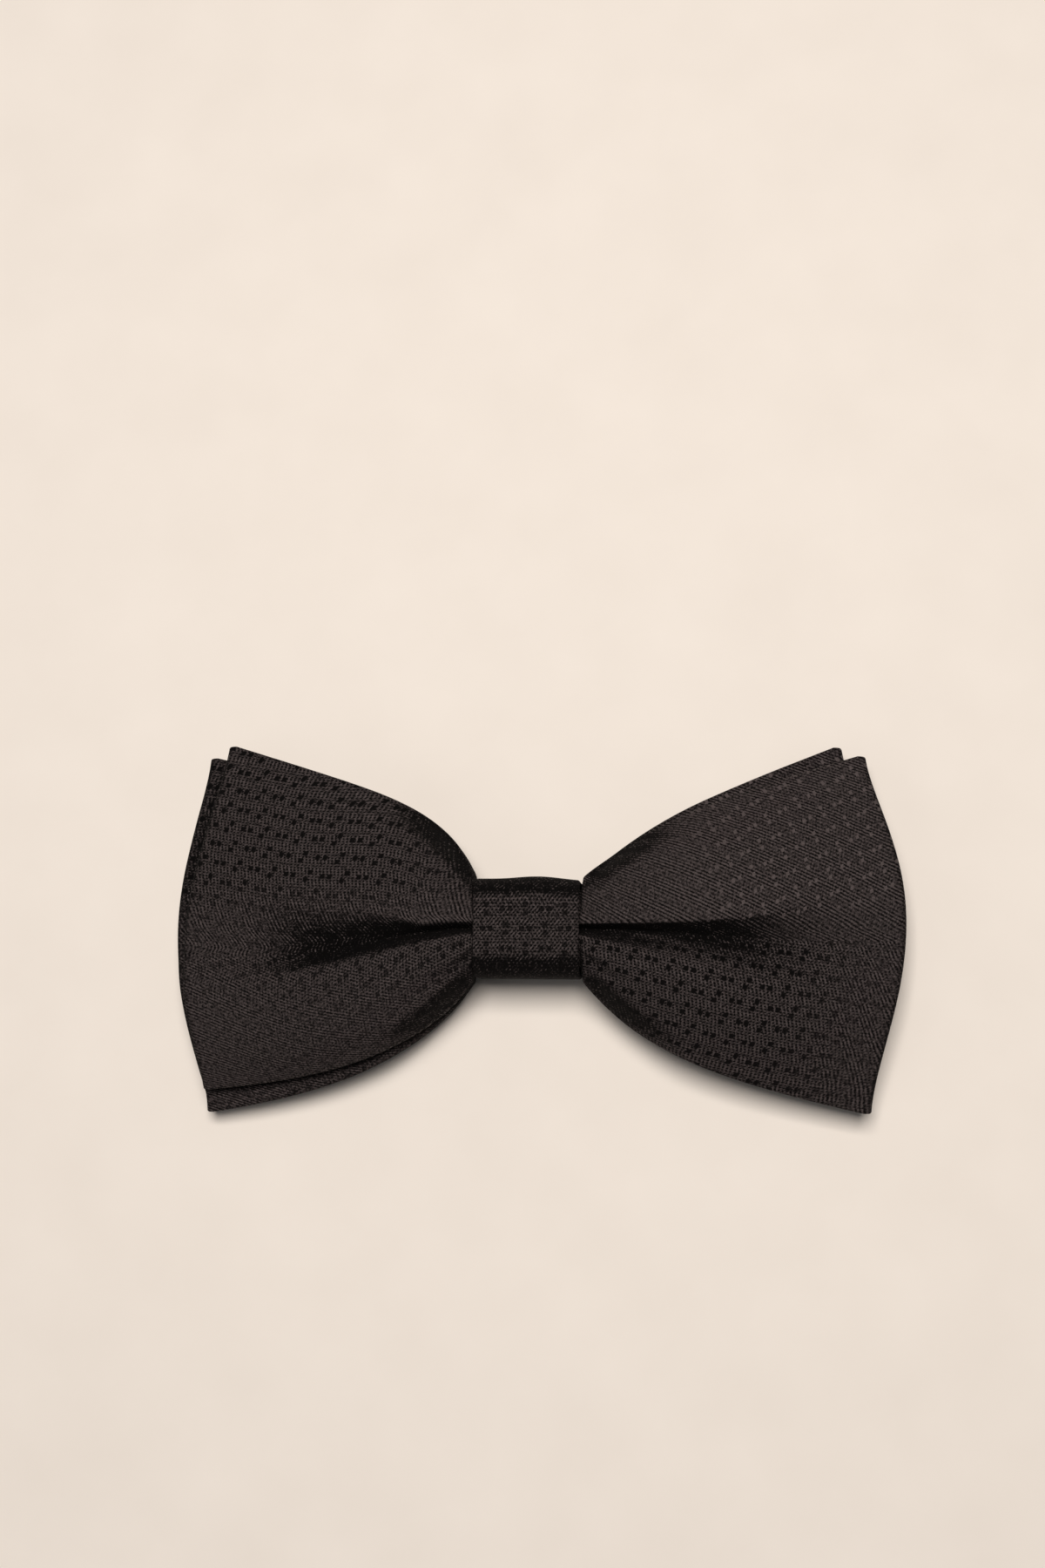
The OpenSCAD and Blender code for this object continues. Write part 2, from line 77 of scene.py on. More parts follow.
# The rear bow is turned against the front one, and its wings are a little longer or shorter
REAR_TURN = math.tan(math.radians(3.6))
REAR_LONGER = {-1: 1.8, 1: -2.0}
REAR_TALLER = {(-1, "top"): 1.1, (-1, "bottom"): 0.9, (1, "top"): -0.9, (1, "bottom"): 0.0}
LOBE_RISE = 4.2  # how far a wing's lobes rise beside the knot
END_RISE = 1.0  # and at the wing's end
CORNER_DROOP = 4.0  # how far a wing's corners hang down
PRESSED = 0.8  # share of the lobes' rise that is left under the knot
EDGE_ROLL = 3.2  # how far the edges roll back beside the knot
EDGE_ROLL_WIDTH = 5.0
CREASE_DEPTH = 0.95  # as a share of the lobes' rise
WING_PUFF = 0.35  # how far a wing's panels swell between the knot and the end
PANEL_T = 0.8
WAIST_HALF = 6.5  # half the strip's height inside the knot
OPEN_HALF = 8.3  # and where it comes out
PANEL_GAP = 0.8  # from the middle of a wing's thickness to its panels, at the knot
END_R = 1.0  # radius of the fold at a wing's end
END_GAP = 0.3  # between the two bows' ends
BINDING_ROOM = 0.55  # between the band and the bows, for the waist's binding
GATHER_ROOM = 0.65  # between the binding and the rear bow's back, for its gathers
BUNDLE_BASE = band_top + BINDING_ROOM
REAR_WAIST_Z = BUNDLE_BASE + GATHER_ROOM + PANEL_GAP
FRONT_WAIST_Z = REAR_WAIST_Z + 4 * PANEL_GAP
REAR_END_Z = BUNDLE_BASE + END_R + PANEL_T / 2
FRONT_END_Z = REAR_END_Z + 2 * END_R + PANEL_T + END_GAP
BUNDLE_TOP = FRONT_WAIST_Z + PANEL_GAP + PRESSED * LOBE_RISE + 0.6


def lerp(a, b, t):
    return a + (b - a) * t


def smooth(a, b, x):
    t = np.clip((x - a) / (b - a), 0.0, 1.0)
    return t * t * (3 - 2 * t)


# ---------------------------------------------------------------- materials
class Graph:
    """Short names for building a material's node tree."""

    def __init__(self, name):
        self.material = bpy.data.materials.new(name)
        self.material.use_nodes = True
        self.tree = self.material.node_tree
        self.tree.nodes.clear()
        self.shader = self.tree.nodes.new("ShaderNodeBsdfPrincipled")
        output = self.tree.nodes.new("ShaderNodeOutputMaterial")
        self.tree.links.new(self.shader.outputs["BSDF"], output.inputs["Surface"])

    def node(self, kind, **settings):
        made = self.tree.nodes.new(kind)
        for key, value in settings.items():
            setattr(made, key, value)
        return made

    def put(self, socket, value):
        if isinstance(value, bpy.types.NodeSocket):
            self.tree.links.new(value, socket)
        else:
            socket.default_value = value

    def math(self, operation, a, b=0.0, c=0.0, clamp=False):
        made = self.node("ShaderNodeMath", operation=operation, use_clamp=clamp)
        for socket, value in zip(made.inputs, (a, b, c)):
            self.put(socket, value)
        return made.outputs[0]

    def step(self, x, low, high):
        """0 below low, 1 above high, smooth between."""
        made = self.node("ShaderNodeMapRange", interpolation_type="SMOOTHSTEP")
        self.put(made.inputs["Value"], x)
        made.inputs["From Min"].default_value = low
        made.inputs["From Max"].default_value = high
        return made.outputs["Result"]

    def mix(self, factor, a, b):
        made = self.node("ShaderNodeMix", data_type="RGBA")
        self.put(made.inputs["Factor"], factor)
        for socket, value in ((made.inputs["A"], a), (made.inputs["B"], b)):
            self.put(socket, value)
        return made.outputs["Result"]

    def blend(self, factor, a, b):
        """A value between a and b, where mix gives a colour."""
        made = self.node("ShaderNodeMix", data_type="FLOAT")
        self.put(made.inputs["Factor"], factor)
        self.put(made.inputs["A"], a)
        self.put(made.inputs["B"], b)
        return made.outputs["Result"]

    def noise(self, vector, scale, detail=2.0, roughness=0.5):
        made = self.node("ShaderNodeTexNoise")
        self.put(made.inputs["Vector"], vector)
        made.inputs["Scale"].default_value = scale
        made.inputs["Detail"].default_value = detail
        made.inputs["Roughness"].default_value = roughness
        return made.outputs["Fac"]

    def uv(self, name="cloth"):
        return self.node("ShaderNodeUVMap", uv_map=name).outputs["UV"]

    def split(self, vector):
        made = self.node("ShaderNodeSeparateXYZ")
        self.put(made.inputs[0], vector)
        return made.outputs[0], made.outputs[1]

    def stripe(self, x, period, phase=0.0):
        """A wave from 0 to 1 along x."""
        turn = self.math("MULTIPLY_ADD", x, 2 * math.pi / period, phase)
        return self.math("MULTIPLY_ADD", self.math("SINE", turn), 0.5, 0.5)

    def bump(self, height, distance, strength):
        made = self.node("ShaderNodeBump")
        self.put(made.inputs["Height"], height)
        made.inputs["Distance"].default_value = distance
        made.inputs["Strength"].default_value = strength
        return made.outputs["Normal"]

    def set(self, **values):
        """Values or links for the shader's inputs, with _ for a space in their names."""
        for name, value in values.items():
            self.put(self.shader.inputs[name.replace("_", " ")], value)


UNIT = 0.65  # the weave's own grid, in millimetres
REPEAT = 5  # grid units between neighbouring motifs
ROW = 0.75  # grid units between neighbouring rows of dots
SQUARE_EDGE = (0.56, 0.70)  # where a square's edge starts and ends, from its middle
DOT_EDGE = (0.05, 0.14)  # the same of a dot, as squares of the distance
LEAST_TONE = (0.0002, 0.0002, 0.0002, 1)
FULL_TONE = (0.064, 0.0505, 0.0488, 1)


def weave_squares(g, gx, gy, lean, lighter):
    """Pairs of small squares on a checkerboard of level and upright pairs: 1 on a square."""
    cx = g.math("ROUND", g.math("DIVIDE", gx, REPEAT))
    cy = g.math("ROUND", g.math("DIVIDE", gy, REPEAT))
    px = g.math("MULTIPLY_ADD", cx, -REPEAT, gx)
    py = g.math("MULTIPLY_ADD", cy, -REPEAT, gy)
    odd = g.step(g.math("FLOORED_MODULO", g.math("ADD", cx, cy), 2.0), 0.4, 0.6)
    straight = g.math("MULTIPLY_ADD", py, lean, px)
    ax, ay = g.math("ABSOLUTE", straight), g.math("ABSOLUTE", py)
    level = g.math("MAXIMUM", g.math("ABSOLUTE", g.math("SUBTRACT", ax, 1.0)), ay)
    beyond = g.math("SUBTRACT", py, g.math("SIGN", py))
    sideways = g.math("MULTIPLY_ADD", beyond, lean, px)
    upright = g.math("MAXIMUM", g.math("ABSOLUTE", sideways), g.math("ABSOLUTE", beyond))
    ragged = g.math("MULTIPLY_ADD", g.noise(g.uv(), 5.0, 2.0), 0.2, -0.1)
    reach = g.math("ADD", g.blend(odd, level, upright), ragged)
    # squares painted lighter, as a painted highlight, are drawn smaller
    reach = g.math("MULTIPLY_ADD", lighter, 0.16, reach)
    return g.math("SUBTRACT", 1.0, g.step(reach, *SQUARE_EDGE))


def weave_dots(g, gx, gy, lean, slub):
    """Staggered dots of the ground: 1 on a dot."""
    row = g.math("ROUND", g.math("DIVIDE", gy, ROW))
    shift = g.math("MULTIPLY", g.math("FLOORED_MODULO", row, 2.0), 0.5)
    sx = g.math("ADD", gx, shift)
    lx = g.math("SUBTRACT", sx, g.math("ROUND", sx))
    ly = g.math("MULTIPLY_ADD", row, -ROW, gy)
    lx = g.math("MULTIPLY_ADD", ly, lean, lx)
    flattened = g.math("MULTIPLY", g.math("MULTIPLY", ly, ly), 1.3)
    spot = g.math("ADD", g.math("MULTIPLY", lx, lx), flattened)
    return g.math("SUBTRACT", 1.0, g.step(g.math("MULTIPLY_ADD", slub, 0.05, spot), *DOT_EDGE))


def jacquard():
    """Charcoal jacquard: a dotted twill ground with pairs of small squares. The "cloth" UV map
    is in millimetres along the threads. The "gloss" map's first value is a painted
    highlight or shade on the weave: the squares and dots are painted darker than the ground
    at 0, alike at 0.5 and lighter at 1. Its second value is painted shade, the share of
    brightness left. The "lean" map's first value is how far the upright threads lean, which
    the squares and dots don't follow."""
    g = Graph("jacquard")
    along, across = g.split(g.uv())
    painted_flip, painted_lightness = g.split(g.uv("gloss"))
    lean = g.split(g.uv("lean"))[0]
    darker = g.math("MULTIPLY_ADD", painted_flip, -2.0, 1.0, clamp=True)
    lighter = g.math("MULTIPLY_ADD", painted_flip, 2.0, -1.0, clamp=True)
    gx, gy = g.math("DIVIDE", along, UNIT), g.math("DIVIDE", across, UNIT)
    uneven = g.step(g.noise(g.uv(), 2.0, 2.0, 0.7), 0.34, 0.66)
    slub = g.step(g.noise(g.uv(), 4.5, 3.0, 0.65), 0.32, 0.68)
    square = weave_squares(g, gx, gy, lean, lighter)
    dot = weave_dots(g, gx, gy, lean, slub)
    # the ground: twill lines and uneven threads, then the dots, painted darker or lighter as painted
    # highlight or shade
    twill = g.stripe(g.math("ADD", gy, gx), 1.0)
    warp = g.stripe(across, 0.21)
    weft = g.stripe(along, 0.19, 1.0)
    tone = g.math("MULTIPLY_ADD", twill, 0.3, g.math("MULTIPLY", warp, 0.06))
    tone = g.math("MULTIPLY_ADD", slub, 0.42, tone)
    tone = g.math("MULTIPLY_ADD", uneven, 0.55, g.math("SUBTRACT", tone, 0.14))
    tone = g.math("SUBTRACT", tone, g.math("MULTIPLY", g.math("MULTIPLY", dot, darker), 0.9))
    tone = g.math("MULTIPLY_ADD", g.math("MULTIPLY", dot, lighter), 0.3, tone)
    tone = g.math("MULTIPLY_ADD", lighter, -0.1, tone)
    # fine diagonal lines, which show only where the squares aren't painted darker
    fine = g.math("MULTIPLY_ADD", g.stripe(g.math("ADD", gx, gy), 1.15), 0.66, -0.40)
    tone = g.math("MULTIPLY_ADD", g.math("SUBTRACT", 1.0, darker), fine, tone)
    # the squares: nearly black where painted darker, bright as a painted highlight where painted lighter
    hatch = g.math("MULTIPLY_ADD", weft, 0.3, g.math("MULTIPLY", slub, 0.3))
    tone = g.blend(g.math("MULTIPLY", square, darker), tone, g.math("MULTIPLY", hatch, 0.05))
    tone = g.blend(g.math("MULTIPLY", square, lighter), tone, g.math("ADD", hatch, 0.9))
    # painted shade: the tone is darkened where the map's second value is low
    tone = g.math("POWER", g.math("ADD", tone, 0.0, clamp=True), g.math("DIVIDE", 1.15, painted_lightness))
    height = g.math("MULTIPLY_ADD", warp, 0.35, g.math("MULTIPLY", weft, 0.25))
    height = g.math("MULTIPLY_ADD", uneven, 0.5, height)
    height = g.math("SUBTRACT", height, g.math("MULTIPLY", dot, 0.6))
    height = g.math("SUBTRACT", height, g.math("MULTIPLY", square, 0.6))
    g.set(
        Base_Color=g.mix(tone, LEAST_TONE, FULL_TONE),
        Roughness=g.math("MULTIPLY_ADD", tone, -0.5, 0.98),
        Normal=g.bump(height, 0.00006, 0.9),
    )
    g.shader.inputs["Specular IOR Level"].default_value = 0.13
    g.shader.inputs["Specular Tint"].default_value = (1.0, 0.88, 0.86, 1)
    return g.material


def ribbon():
    """Charcoal grosgrain ribbon for the neck band, ribbed across its length."""
    g = Graph("band_cloth")
    along, across = g.split(g.uv())
    rib = g.stripe(along, 0.42)
    thread = g.stripe(across, 0.2)
    slub = g.noise(g.uv(), 4.0, 3.0)
    wide = g.noise(g.uv(), 0.25, 2.0)
    edge = g.step(g.math("ABSOLUTE", across), band_half_w - 0.9, band_half_w - 0.5)
    tone = g.math("MULTIPLY_ADD", rib, 0.45, g.math("MULTIPLY", slub, 0.55))
    tone = g.math("MULTIPLY", tone, g.math("MULTIPLY_ADD", wide, 0.5, 0.75))
    tone = g.math("SUBTRACT", tone, g.math("MULTIPLY", edge, 0.15))
    height = g.math("MULTIPLY_ADD", rib, 0.8, g.math("MULTIPLY", thread, 0.2))
    g.set(
        Base_Color=g.mix(tone, (0.003, 0.0025, 0.0025, 1), (0.030, 0.025, 0.024, 1)),
        Roughness=g.blend(rib, 0.6, 0.45),
        Normal=g.bump(height, 0.00008, 0.8),
    )
    g.shader.inputs["Specular IOR Level"].default_value = 0.3
    return g.material


def interlining():
    """Stiff undyed interlining: matted short fibres."""
    g = Graph("interlining")
    place = g.node("ShaderNodeTexCoord").outputs["Object"]
    fibre = g.noise(place, 4200.0, 6.0, 0.7)
    patch = g.noise(place, 350.0, 3.0)
    tone = g.math("MULTIPLY_ADD", fibre, 0.7, g.math("MULTIPLY", patch, 0.4))
    g.set(
        Base_Color=g.mix(tone, (0.36, 0.34, 0.31, 1), (0.66, 0.64, 0.60, 1)),
        Roughness=g.blend(fibre, 0.95, 0.8),
        Normal=g.bump(fibre, 0.00008, 0.7),
    )
    return g.material


def thread():
    """Black polyester thread, twisted."""
    g = Graph("thread")
    along, around = g.split(g.uv())
    twist = g.stripe(g.math("ADD", along, g.math("MULTIPLY", around, 0.5)), 0.28)
    tone = g.math("MULTIPLY", twist, g.noise(g.uv(), 6.0, 3.0))
    g.set(
        Base_Color=g.mix(tone, (0.008, 0.0075, 0.0075, 1), (0.05, 0.046, 0.045, 1)),
        Roughness=g.blend(twist, 0.6, 0.4),
        Normal=g.bump(twist, 0.00005, 0.8),
    )
    return g.material


def nickel():
    """Satin nickel plate with fine scratches and duller patches."""
    g = Graph("nickel")
    place = g.node("ShaderNodeTexCoord").outputs["Object"]
    stretched = g.node("ShaderNodeMapping")
    g.put(stretched.inputs["Vector"], place)
    stretched.inputs["Scale"].default_value = (0.12, 1.0, 1.0)
    grain = g.noise(stretched.outputs["Vector"], 9000.0, 3.0, 0.6)
    patch = g.noise(place, 260.0, 4.0, 0.6)
    wear = g.step(patch, 0.45, 0.7)
    g.set(
        Base_Color=g.mix(wear, (0.62, 0.60, 0.57, 1), (0.50, 0.48, 0.45, 1)),
        Metallic=1.0,
        Roughness=g.math("MULTIPLY_ADD", grain, 0.16, g.math("MULTIPLY_ADD", wear, 0.14, 0.2)),
        Normal=g.bump(grain, 0.00001, 0.5),
    )
    return g.material


MATERIALS = {
    "jacquard": jacquard(),
    "band_cloth": ribbon(),
    "interlining": interlining(),
    "thread": thread(),
    "nickel": nickel(),
}


# ---------------------------------------------------------------- meshes
def add_uv(mesh, name, values, other=None, pick=None):
    """A UV map from one value pair per point. Faces picked take theirs from other instead."""
    layer = mesh.uv_layers.new(name=name)
    corner = np.zeros(len(mesh.loops), int)
    mesh.loops.foreach_get("vertex_index", corner)
    at_corner = np.asarray(values, float)[corner]
    if pick is not None:
        sides = np.zeros(len(mesh.polygons), int)
        mesh.polygons.foreach_get("loop_total", sides)
        picked = np.repeat(np.asarray(pick), sides)
        at_corner[picked] = np.asarray(other, float)[corner][picked]
    layer.data.foreach_set("uv", at_corner.ravel())


def outward(points, faces):
    """The faces, turned round if they face into the solid."""
    points = np.asarray(points) - np.mean(points, axis=0)
    volume = 0.0
    for corners in {len(face) for face in faces}:
        polygon = points[np.array([face for face in faces if len(face) == corners])]
        for k in range(1, corners - 1):
            volume += (polygon[:, 0] * np.cross(polygon[:, k], polygon[:, k + 1])).sum()
    return [face[::-1] for face in faces] if volume < 0 else faces


def finish_mesh(name, points, faces, uvs, slot, body, stands_for=(), looks=None, lobes=None):
    """A piece from points and faces in millimetres, with one UV per point. looks has the two
    values of the jacquard's "gloss" map, its painted highlight and shade, and the two
    of its "lean" map for each point. Where lobes is given, uvs and looks are pairs for the
    lower and the upper lobe, and lobes says which faces are on the upper one."""
    mesh = bpy.data.meshes.new(name)
    mesh.from_pydata((np.asarray(points) * MM).tolist(), [], outward(points, faces))
    if lobes is None:
        add_uv(mesh, "cloth", uvs)
    else:
        add_uv(mesh, "cloth", uvs[0], uvs[1], lobes)
    if looks is not None:
        low, high = looks if lobes is not None else (looks, looks)
        add_uv(mesh, "gloss", low[:, :2], high[:, :2], lobes)
        add_uv(mesh, "lean", low[:, 2:], high[:, 2:], lobes)
    mesh.shade_smooth()
    piece = bpy.data.objects.new(name, mesh)
    bpy.context.scene.collection.objects.link(piece)
    mesh.materials.append(MATERIALS[slot])
    if body:
        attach(piece, body)
    if stands_for:
        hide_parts(*stands_for)
    return piece


def strip_mesh(grid, lift, thickness, uv, closed=False):
    """Points, faces and UVs of a strip of cloth with rounded edges. The grid runs along its
    middle, rows along the strip and columns across it, and lift is the direction of its
    thickness at each point."""
    rows, cols = grid.shape[:2]
    across = np.linalg.norm(np.diff(grid, axis=1), axis=2)
    from_low = np.concatenate([np.zeros((rows, 1)), np.cumsum(across, axis=1)], axis=1)
    to_edge = np.minimum(from_low, from_low[:, -1:] - from_low)
    half = np.broadcast_to(thickness, rows)[:, None] / 2
    inner = np.clip(1 - to_edge / half, 0, 1)
    swell = (half * np.sqrt(np.maximum(1 - inner**2, 0.0004)))[..., None]
    ring = np.concatenate([grid + lift * swell, (grid - lift * swell)[:, ::-1]], axis=1)
    ring_uv = np.concatenate([uv, uv[:, ::-1]], axis=1)
    n = 2 * cols
    last = rows if closed else rows - 1
    i, k = np.meshgrid(np.arange(last), np.arange(n), indexing="ij")
    i2, k2 = (i + 1) % rows, (k + 1) % n
    faces = np.stack([i * n + k, i * n + k2, i2 * n + k2, i2 * n + k], axis=-1).reshape(-1, 4).tolist()
    if not closed:
        for start, turn in ((0, 1), ((rows - 1) * n, -1)):
            for k in range(cols - 1):
                face = [start + k, start + n - 1 - k, start + n - 2 - k, start + k + 1]
                faces.append(face[::turn])
    return ring.reshape(-1, 3), faces, ring_uv.reshape(-1, 2)


def edge_stops(half, count, thickness):
    """Stops across a strip from -half to half, with extra ones where its edges round off."""
    rounding = thickness / 2 * np.array([0.0, 0.05, 0.2, 0.45, 0.75, 1.0])
    low = -half + rounding
    even = np.linspace(-1, 1, count)[1:-1]
    middle = -low[-1] * even * (0.45 + 0.55 * even**2)
    return np.concatenate([low, middle, -low[::-1]])


def arc_length(grid, axis):
    """Distance along the grid's rows or columns, from its first point."""
    step = np.linalg.norm(np.diff(grid, axis=axis), axis=2)
    zero = np.zeros_like(np.take(step, [0], axis=axis))
    return np.concatenate([zero, np.cumsum(step, axis=axis)], axis=axis)


# ---------------------------------------------------------------- bows
def corner_of(rear, side, edge):
    reach, height = WINGS[side][edge]
    if rear:
        return reach + REAR_LONGER[side], height + REAR_TALLER[side, edge]
    return reach, height


def edge_height(rear, side, edge, u):
    """Height of a wing's edge at u, from the knot at 0 to the corner at 1."""
    reach, corner = corner_of(rear, side, edge)
    slope, drop = WINGS[side][edge + "_slope"], WINGS[side][edge + "_drop"]
    fall = slope * (reach - knot_half_w)
    near = (np.exp(-u / drop) - math.exp(-1 / drop)) / (1 - math.exp(-1 / drop))
    outline = corner - fall * (1 - u) - (corner - fall - OPEN_HALF) * near
    return lerp(WAIST_HALF, outline, smooth(0.0, 0.01, u))


def wing_span(rear, side, u):
    """Half the wing's height at u, and the middle of it."""
    top, bottom = edge_height(rear, side, "top", u), edge_height(rear, side, "bottom", u)
    return (top + bottom) / 2, (top - bottom) / 2


RIPPLE_WAVES = 14
SHORTEST_RIPPLE = 7.0


def ripples(x, y, seed, longest=22.0):
    """Soft unevenness of stitched cloth, from crossing waves, about 1 high."""
    rng = np.random.default_rng(seed)
    total = np.zeros_like(x)
    for _ in range(RIPPLE_WAVES):
        angle = rng.uniform(0, math.pi)
        wavelength = rng.uniform(SHORTEST_RIPPLE, longest)
        phase = rng.uniform(0, 2 * math.pi)
        wave = np.sin((x * math.cos(angle) + y * math.sin(angle)) * 2 * math.pi / wavelength + phase)
        total += wave * wavelength / longest
    return total / math.sqrt(RIPPLE_WAVES)


def flank(side, u):
    """Width of the slope from the crease up to the ridge of the upper lobe."""
    if side < 0:
        return 0.9 + 22.0 * np.maximum(u - 0.18, 0)
    return 0.7 + 10.0 * u * u


def relief(side, u, d, half):
    """Height of the wing above its base at a distance d above its valley: two lobes, the
    crease between them and the edges that roll back beside the knot."""
    rise = END_RISE + (LOBE_RISE - END_RISE) * (1 - u**1.6)
    rise = rise * lerp(PRESSED, 1.0, smooth(0.0, 0.15, u))
    arch = 1 - np.abs(d / half) ** 2.4
    lower = 0.6 + 3.0 * u if side < 0 else 0.7 + 8.5 * u  # the crease's width below its valley
    soft = 0.06 if side < 0 else 0.012  # how round the ridge of the upper lobe is
    ramp = 1 - d / flank(side, u)
    crease = np.where(d > 0, (ramp + np.sqrt(ramp**2 + soft)) / (1 + math.sqrt(1 + soft)),
                      np.exp(-((d / lower) ** 2)))
    roll = EDGE_ROLL * smooth(0.0, 0.1, u) * (1 - smooth(0.10, 0.42, u))
    rolled = smooth(half - EDGE_ROLL_WIDTH, half, np.abs(d)) ** 1.5
    return rise * arch - CREASE_DEPTH * rise * crease - roll * rolled


def wing_length(rear, side, v):
    """Length of a wing's panel from the knot to where its end fold begins."""
    reach = lerp(corner_of(rear, side, "bottom")[0], corner_of(rear, side, "top")[0], (v + 1) / 2)
    reach = reach + WINGS[side]["bulge"] * np.maximum(1 - v * v, 0) ** 1.6 * (1 + 0.4 * v)
    return reach - END_R - knot_half_w


LEAST_SKEW = 0.01  # of a wing's middle from its valley, to divide by


def strip_point(rear, side, u, v, level, out, middle_x):
    """Points on the middle of a bow's strip. u runs from the knot at 0 to the fold at 1, v
    from the lower edge at -1 to the upper one at 1, level from the back panel at -1 to the
    front one at 1, and out is how far round the end fold the point is. The rear bow nests in
    the front one: its height is read where the front one has it."""
    turn = side * REAR_TURN if rear else 0.0
    drop = WINGS[side]["valley"]
    half, middle = wing_span(rear, side, u)
    valley = drop * smooth(0.0, 0.75, u) - turn * wing_length(rear, side, 0.0) * u
    y = valley + v * half + v * v * (middle - valley)
    x = np.where(middle_x >= 0, middle_x, knot_half_w + wing_length(rear, side, v) * u)
    turned_x = x - turn * y * u
    turned_y = y + turn * np.maximum(x - knot_half_w, 0)
    front_u = np.maximum(turned_x - knot_half_w, 0) / wing_length(False, side, v)
    front_half, front_middle = wing_span(False, side, front_u)
    front_valley = drop * smooth(0.0, 0.75, front_u)
    skew = front_middle - front_valley
    skew = np.where(np.abs(skew) < LEAST_SKEW, LEAST_SKEW, skew)
    root = np.sqrt(np.maximum(front_half**2 + 4 * skew * (turned_y - front_valley), 0))
    front_v = np.clip((root - front_half) / (2 * skew), -1.04, 1.04)
    puff = WING_PUFF * 4 * u * (1 - u) * (1 - v * v)
    if rear:
        layer_z = lerp(REAR_WAIST_Z, REAR_END_Z, u) + puff
    else:
        layer_z = lerp(FRONT_WAIST_Z, FRONT_END_Z, u) + 3 * puff
    gap = lerp(PANEL_GAP, END_R, u) + puff
    height = relief(side, front_u, front_v * front_half, front_half)
    height = height - CORNER_DROOP * front_u**1.5 * front_v**2
    return np.stack([side * (turned_x + out * END_R), turned_y, layer_z + level * gap + height], axis=-1)


# Stops of the grid along a wing, across it, round its end fold and inside the knot
SPAN_COUNT = 90
CROSS_COUNT = 97
FOLD_COUNT = 9
INSIDE_COUNT = 9
BACK_OPEN = 0.25  # half the gap between the strip's two ends, at the middle of its back


def strip_stops():
    """The strip's stops as rows of side, u, level, out and x inside the knot, from its end at
    the back, out round the left wing, across the front, round the right wing and back."""
    spans = np.linspace(0, 1, SPAN_COUNT) ** 1.4
    inside = np.linspace(0.0, knot_half_w, INSIDE_COUNT)[:-1]
    rows = []

    def panel(side, level, outward):
        back = level < 0
        cells = [(side, 0.0, level, 0.0, max(x, BACK_OPEN) if back else x) for x in inside]
        cells += [(side, u, level, 0.0, -1.0) for u in spans]
        rows.extend(cells if outward else cells[::-1])

    def fold(side, start):
        for angle in np.linspace(start, -start, FOLD_COUNT)[1:-1]:
            rows.append((side, 1.0, math.sin(angle), math.cos(angle), -1.0))

    panel(-1, -1.0, True)
    fold(-1, -math.pi / 2)
    panel(-1, 1.0, False)
    rows.pop()
    panel(1, 1.0, True)
    fold(1, math.pi / 2)
    panel(1, -1.0, False)
    return np.array(rows)


def strip_grid(rear, inset=0.0):
    """The strip's middle surface as a grid, the direction of its thickness, and its stops."""
    stops = strip_stops()
    grid, lift = [], []
    for side, u, level, out, middle_x in stops:
        half = wing_span(rear, int(side), u)[0]
        v = edge_stops(half - inset, CROSS_COUNT, PANEL_T) / half
        one = np.ones_like(v)
        grid.append(strip_point(rear, int(side), u * one, v, level, out, middle_x * one))
        lift.append(np.stack([side * out * one, 0 * one, level * one], axis=-1))
    grid, lift = np.array(grid), np.array(lift)
    x, y = grid[..., 0], grid[..., 1]
    near = smooth(knot_half_w, knot_half_w + 6, np.abs(x))
    grid[..., 2] += 0.12 * ripples(x, y, 3) * near + 0.2 * gathers(x, y, 5)
    return grid, lift, stops


def gathers(x, y, seed):
    """Fine wrinkles that run out from the knot and die away, about 1 high."""
    rng = np.random.default_rng(seed)
    turn = y / (np.abs(x) - 2.0).clip(5.0)
    total = np.zeros_like(x)
    for waves in (9.0, 13.0, 17.0, 23.0):
        total += np.sin(turn * waves * rng.uniform(0.9, 1.1) + rng.uniform(0, 2 * math.pi))
    return total / 2 * smooth(8.5, 11.0, np.abs(x)) * np.exp(-np.maximum(np.abs(x) - 10, 0) / 9)


SHEEN_LEAST = 0.3  # painted shade: share of brightness left where the cloth turns away
SHEEN_FACING = (0.60, 0.92)  # how squarely the cloth faces front, from the most painted shade to none
CREASE_SHADE = 0.85  # share of brightness taken away by painted shade down in the crease
CREASE_SHADE_ENDS = {-1: (0.52, 0.84), 1: (0.42, 0.84)}  # where along a wing that painted shade dies away
WEDGE_SHADE = {"top": 0.75, "bottom": 0.5}  # painted shade, the same on the edges that roll back
WEDGE_ENDS = (0.14, 0.34)
RIM_LIFT = 0.2  # how far the lower rim is painted lighter again, as if it faced the front
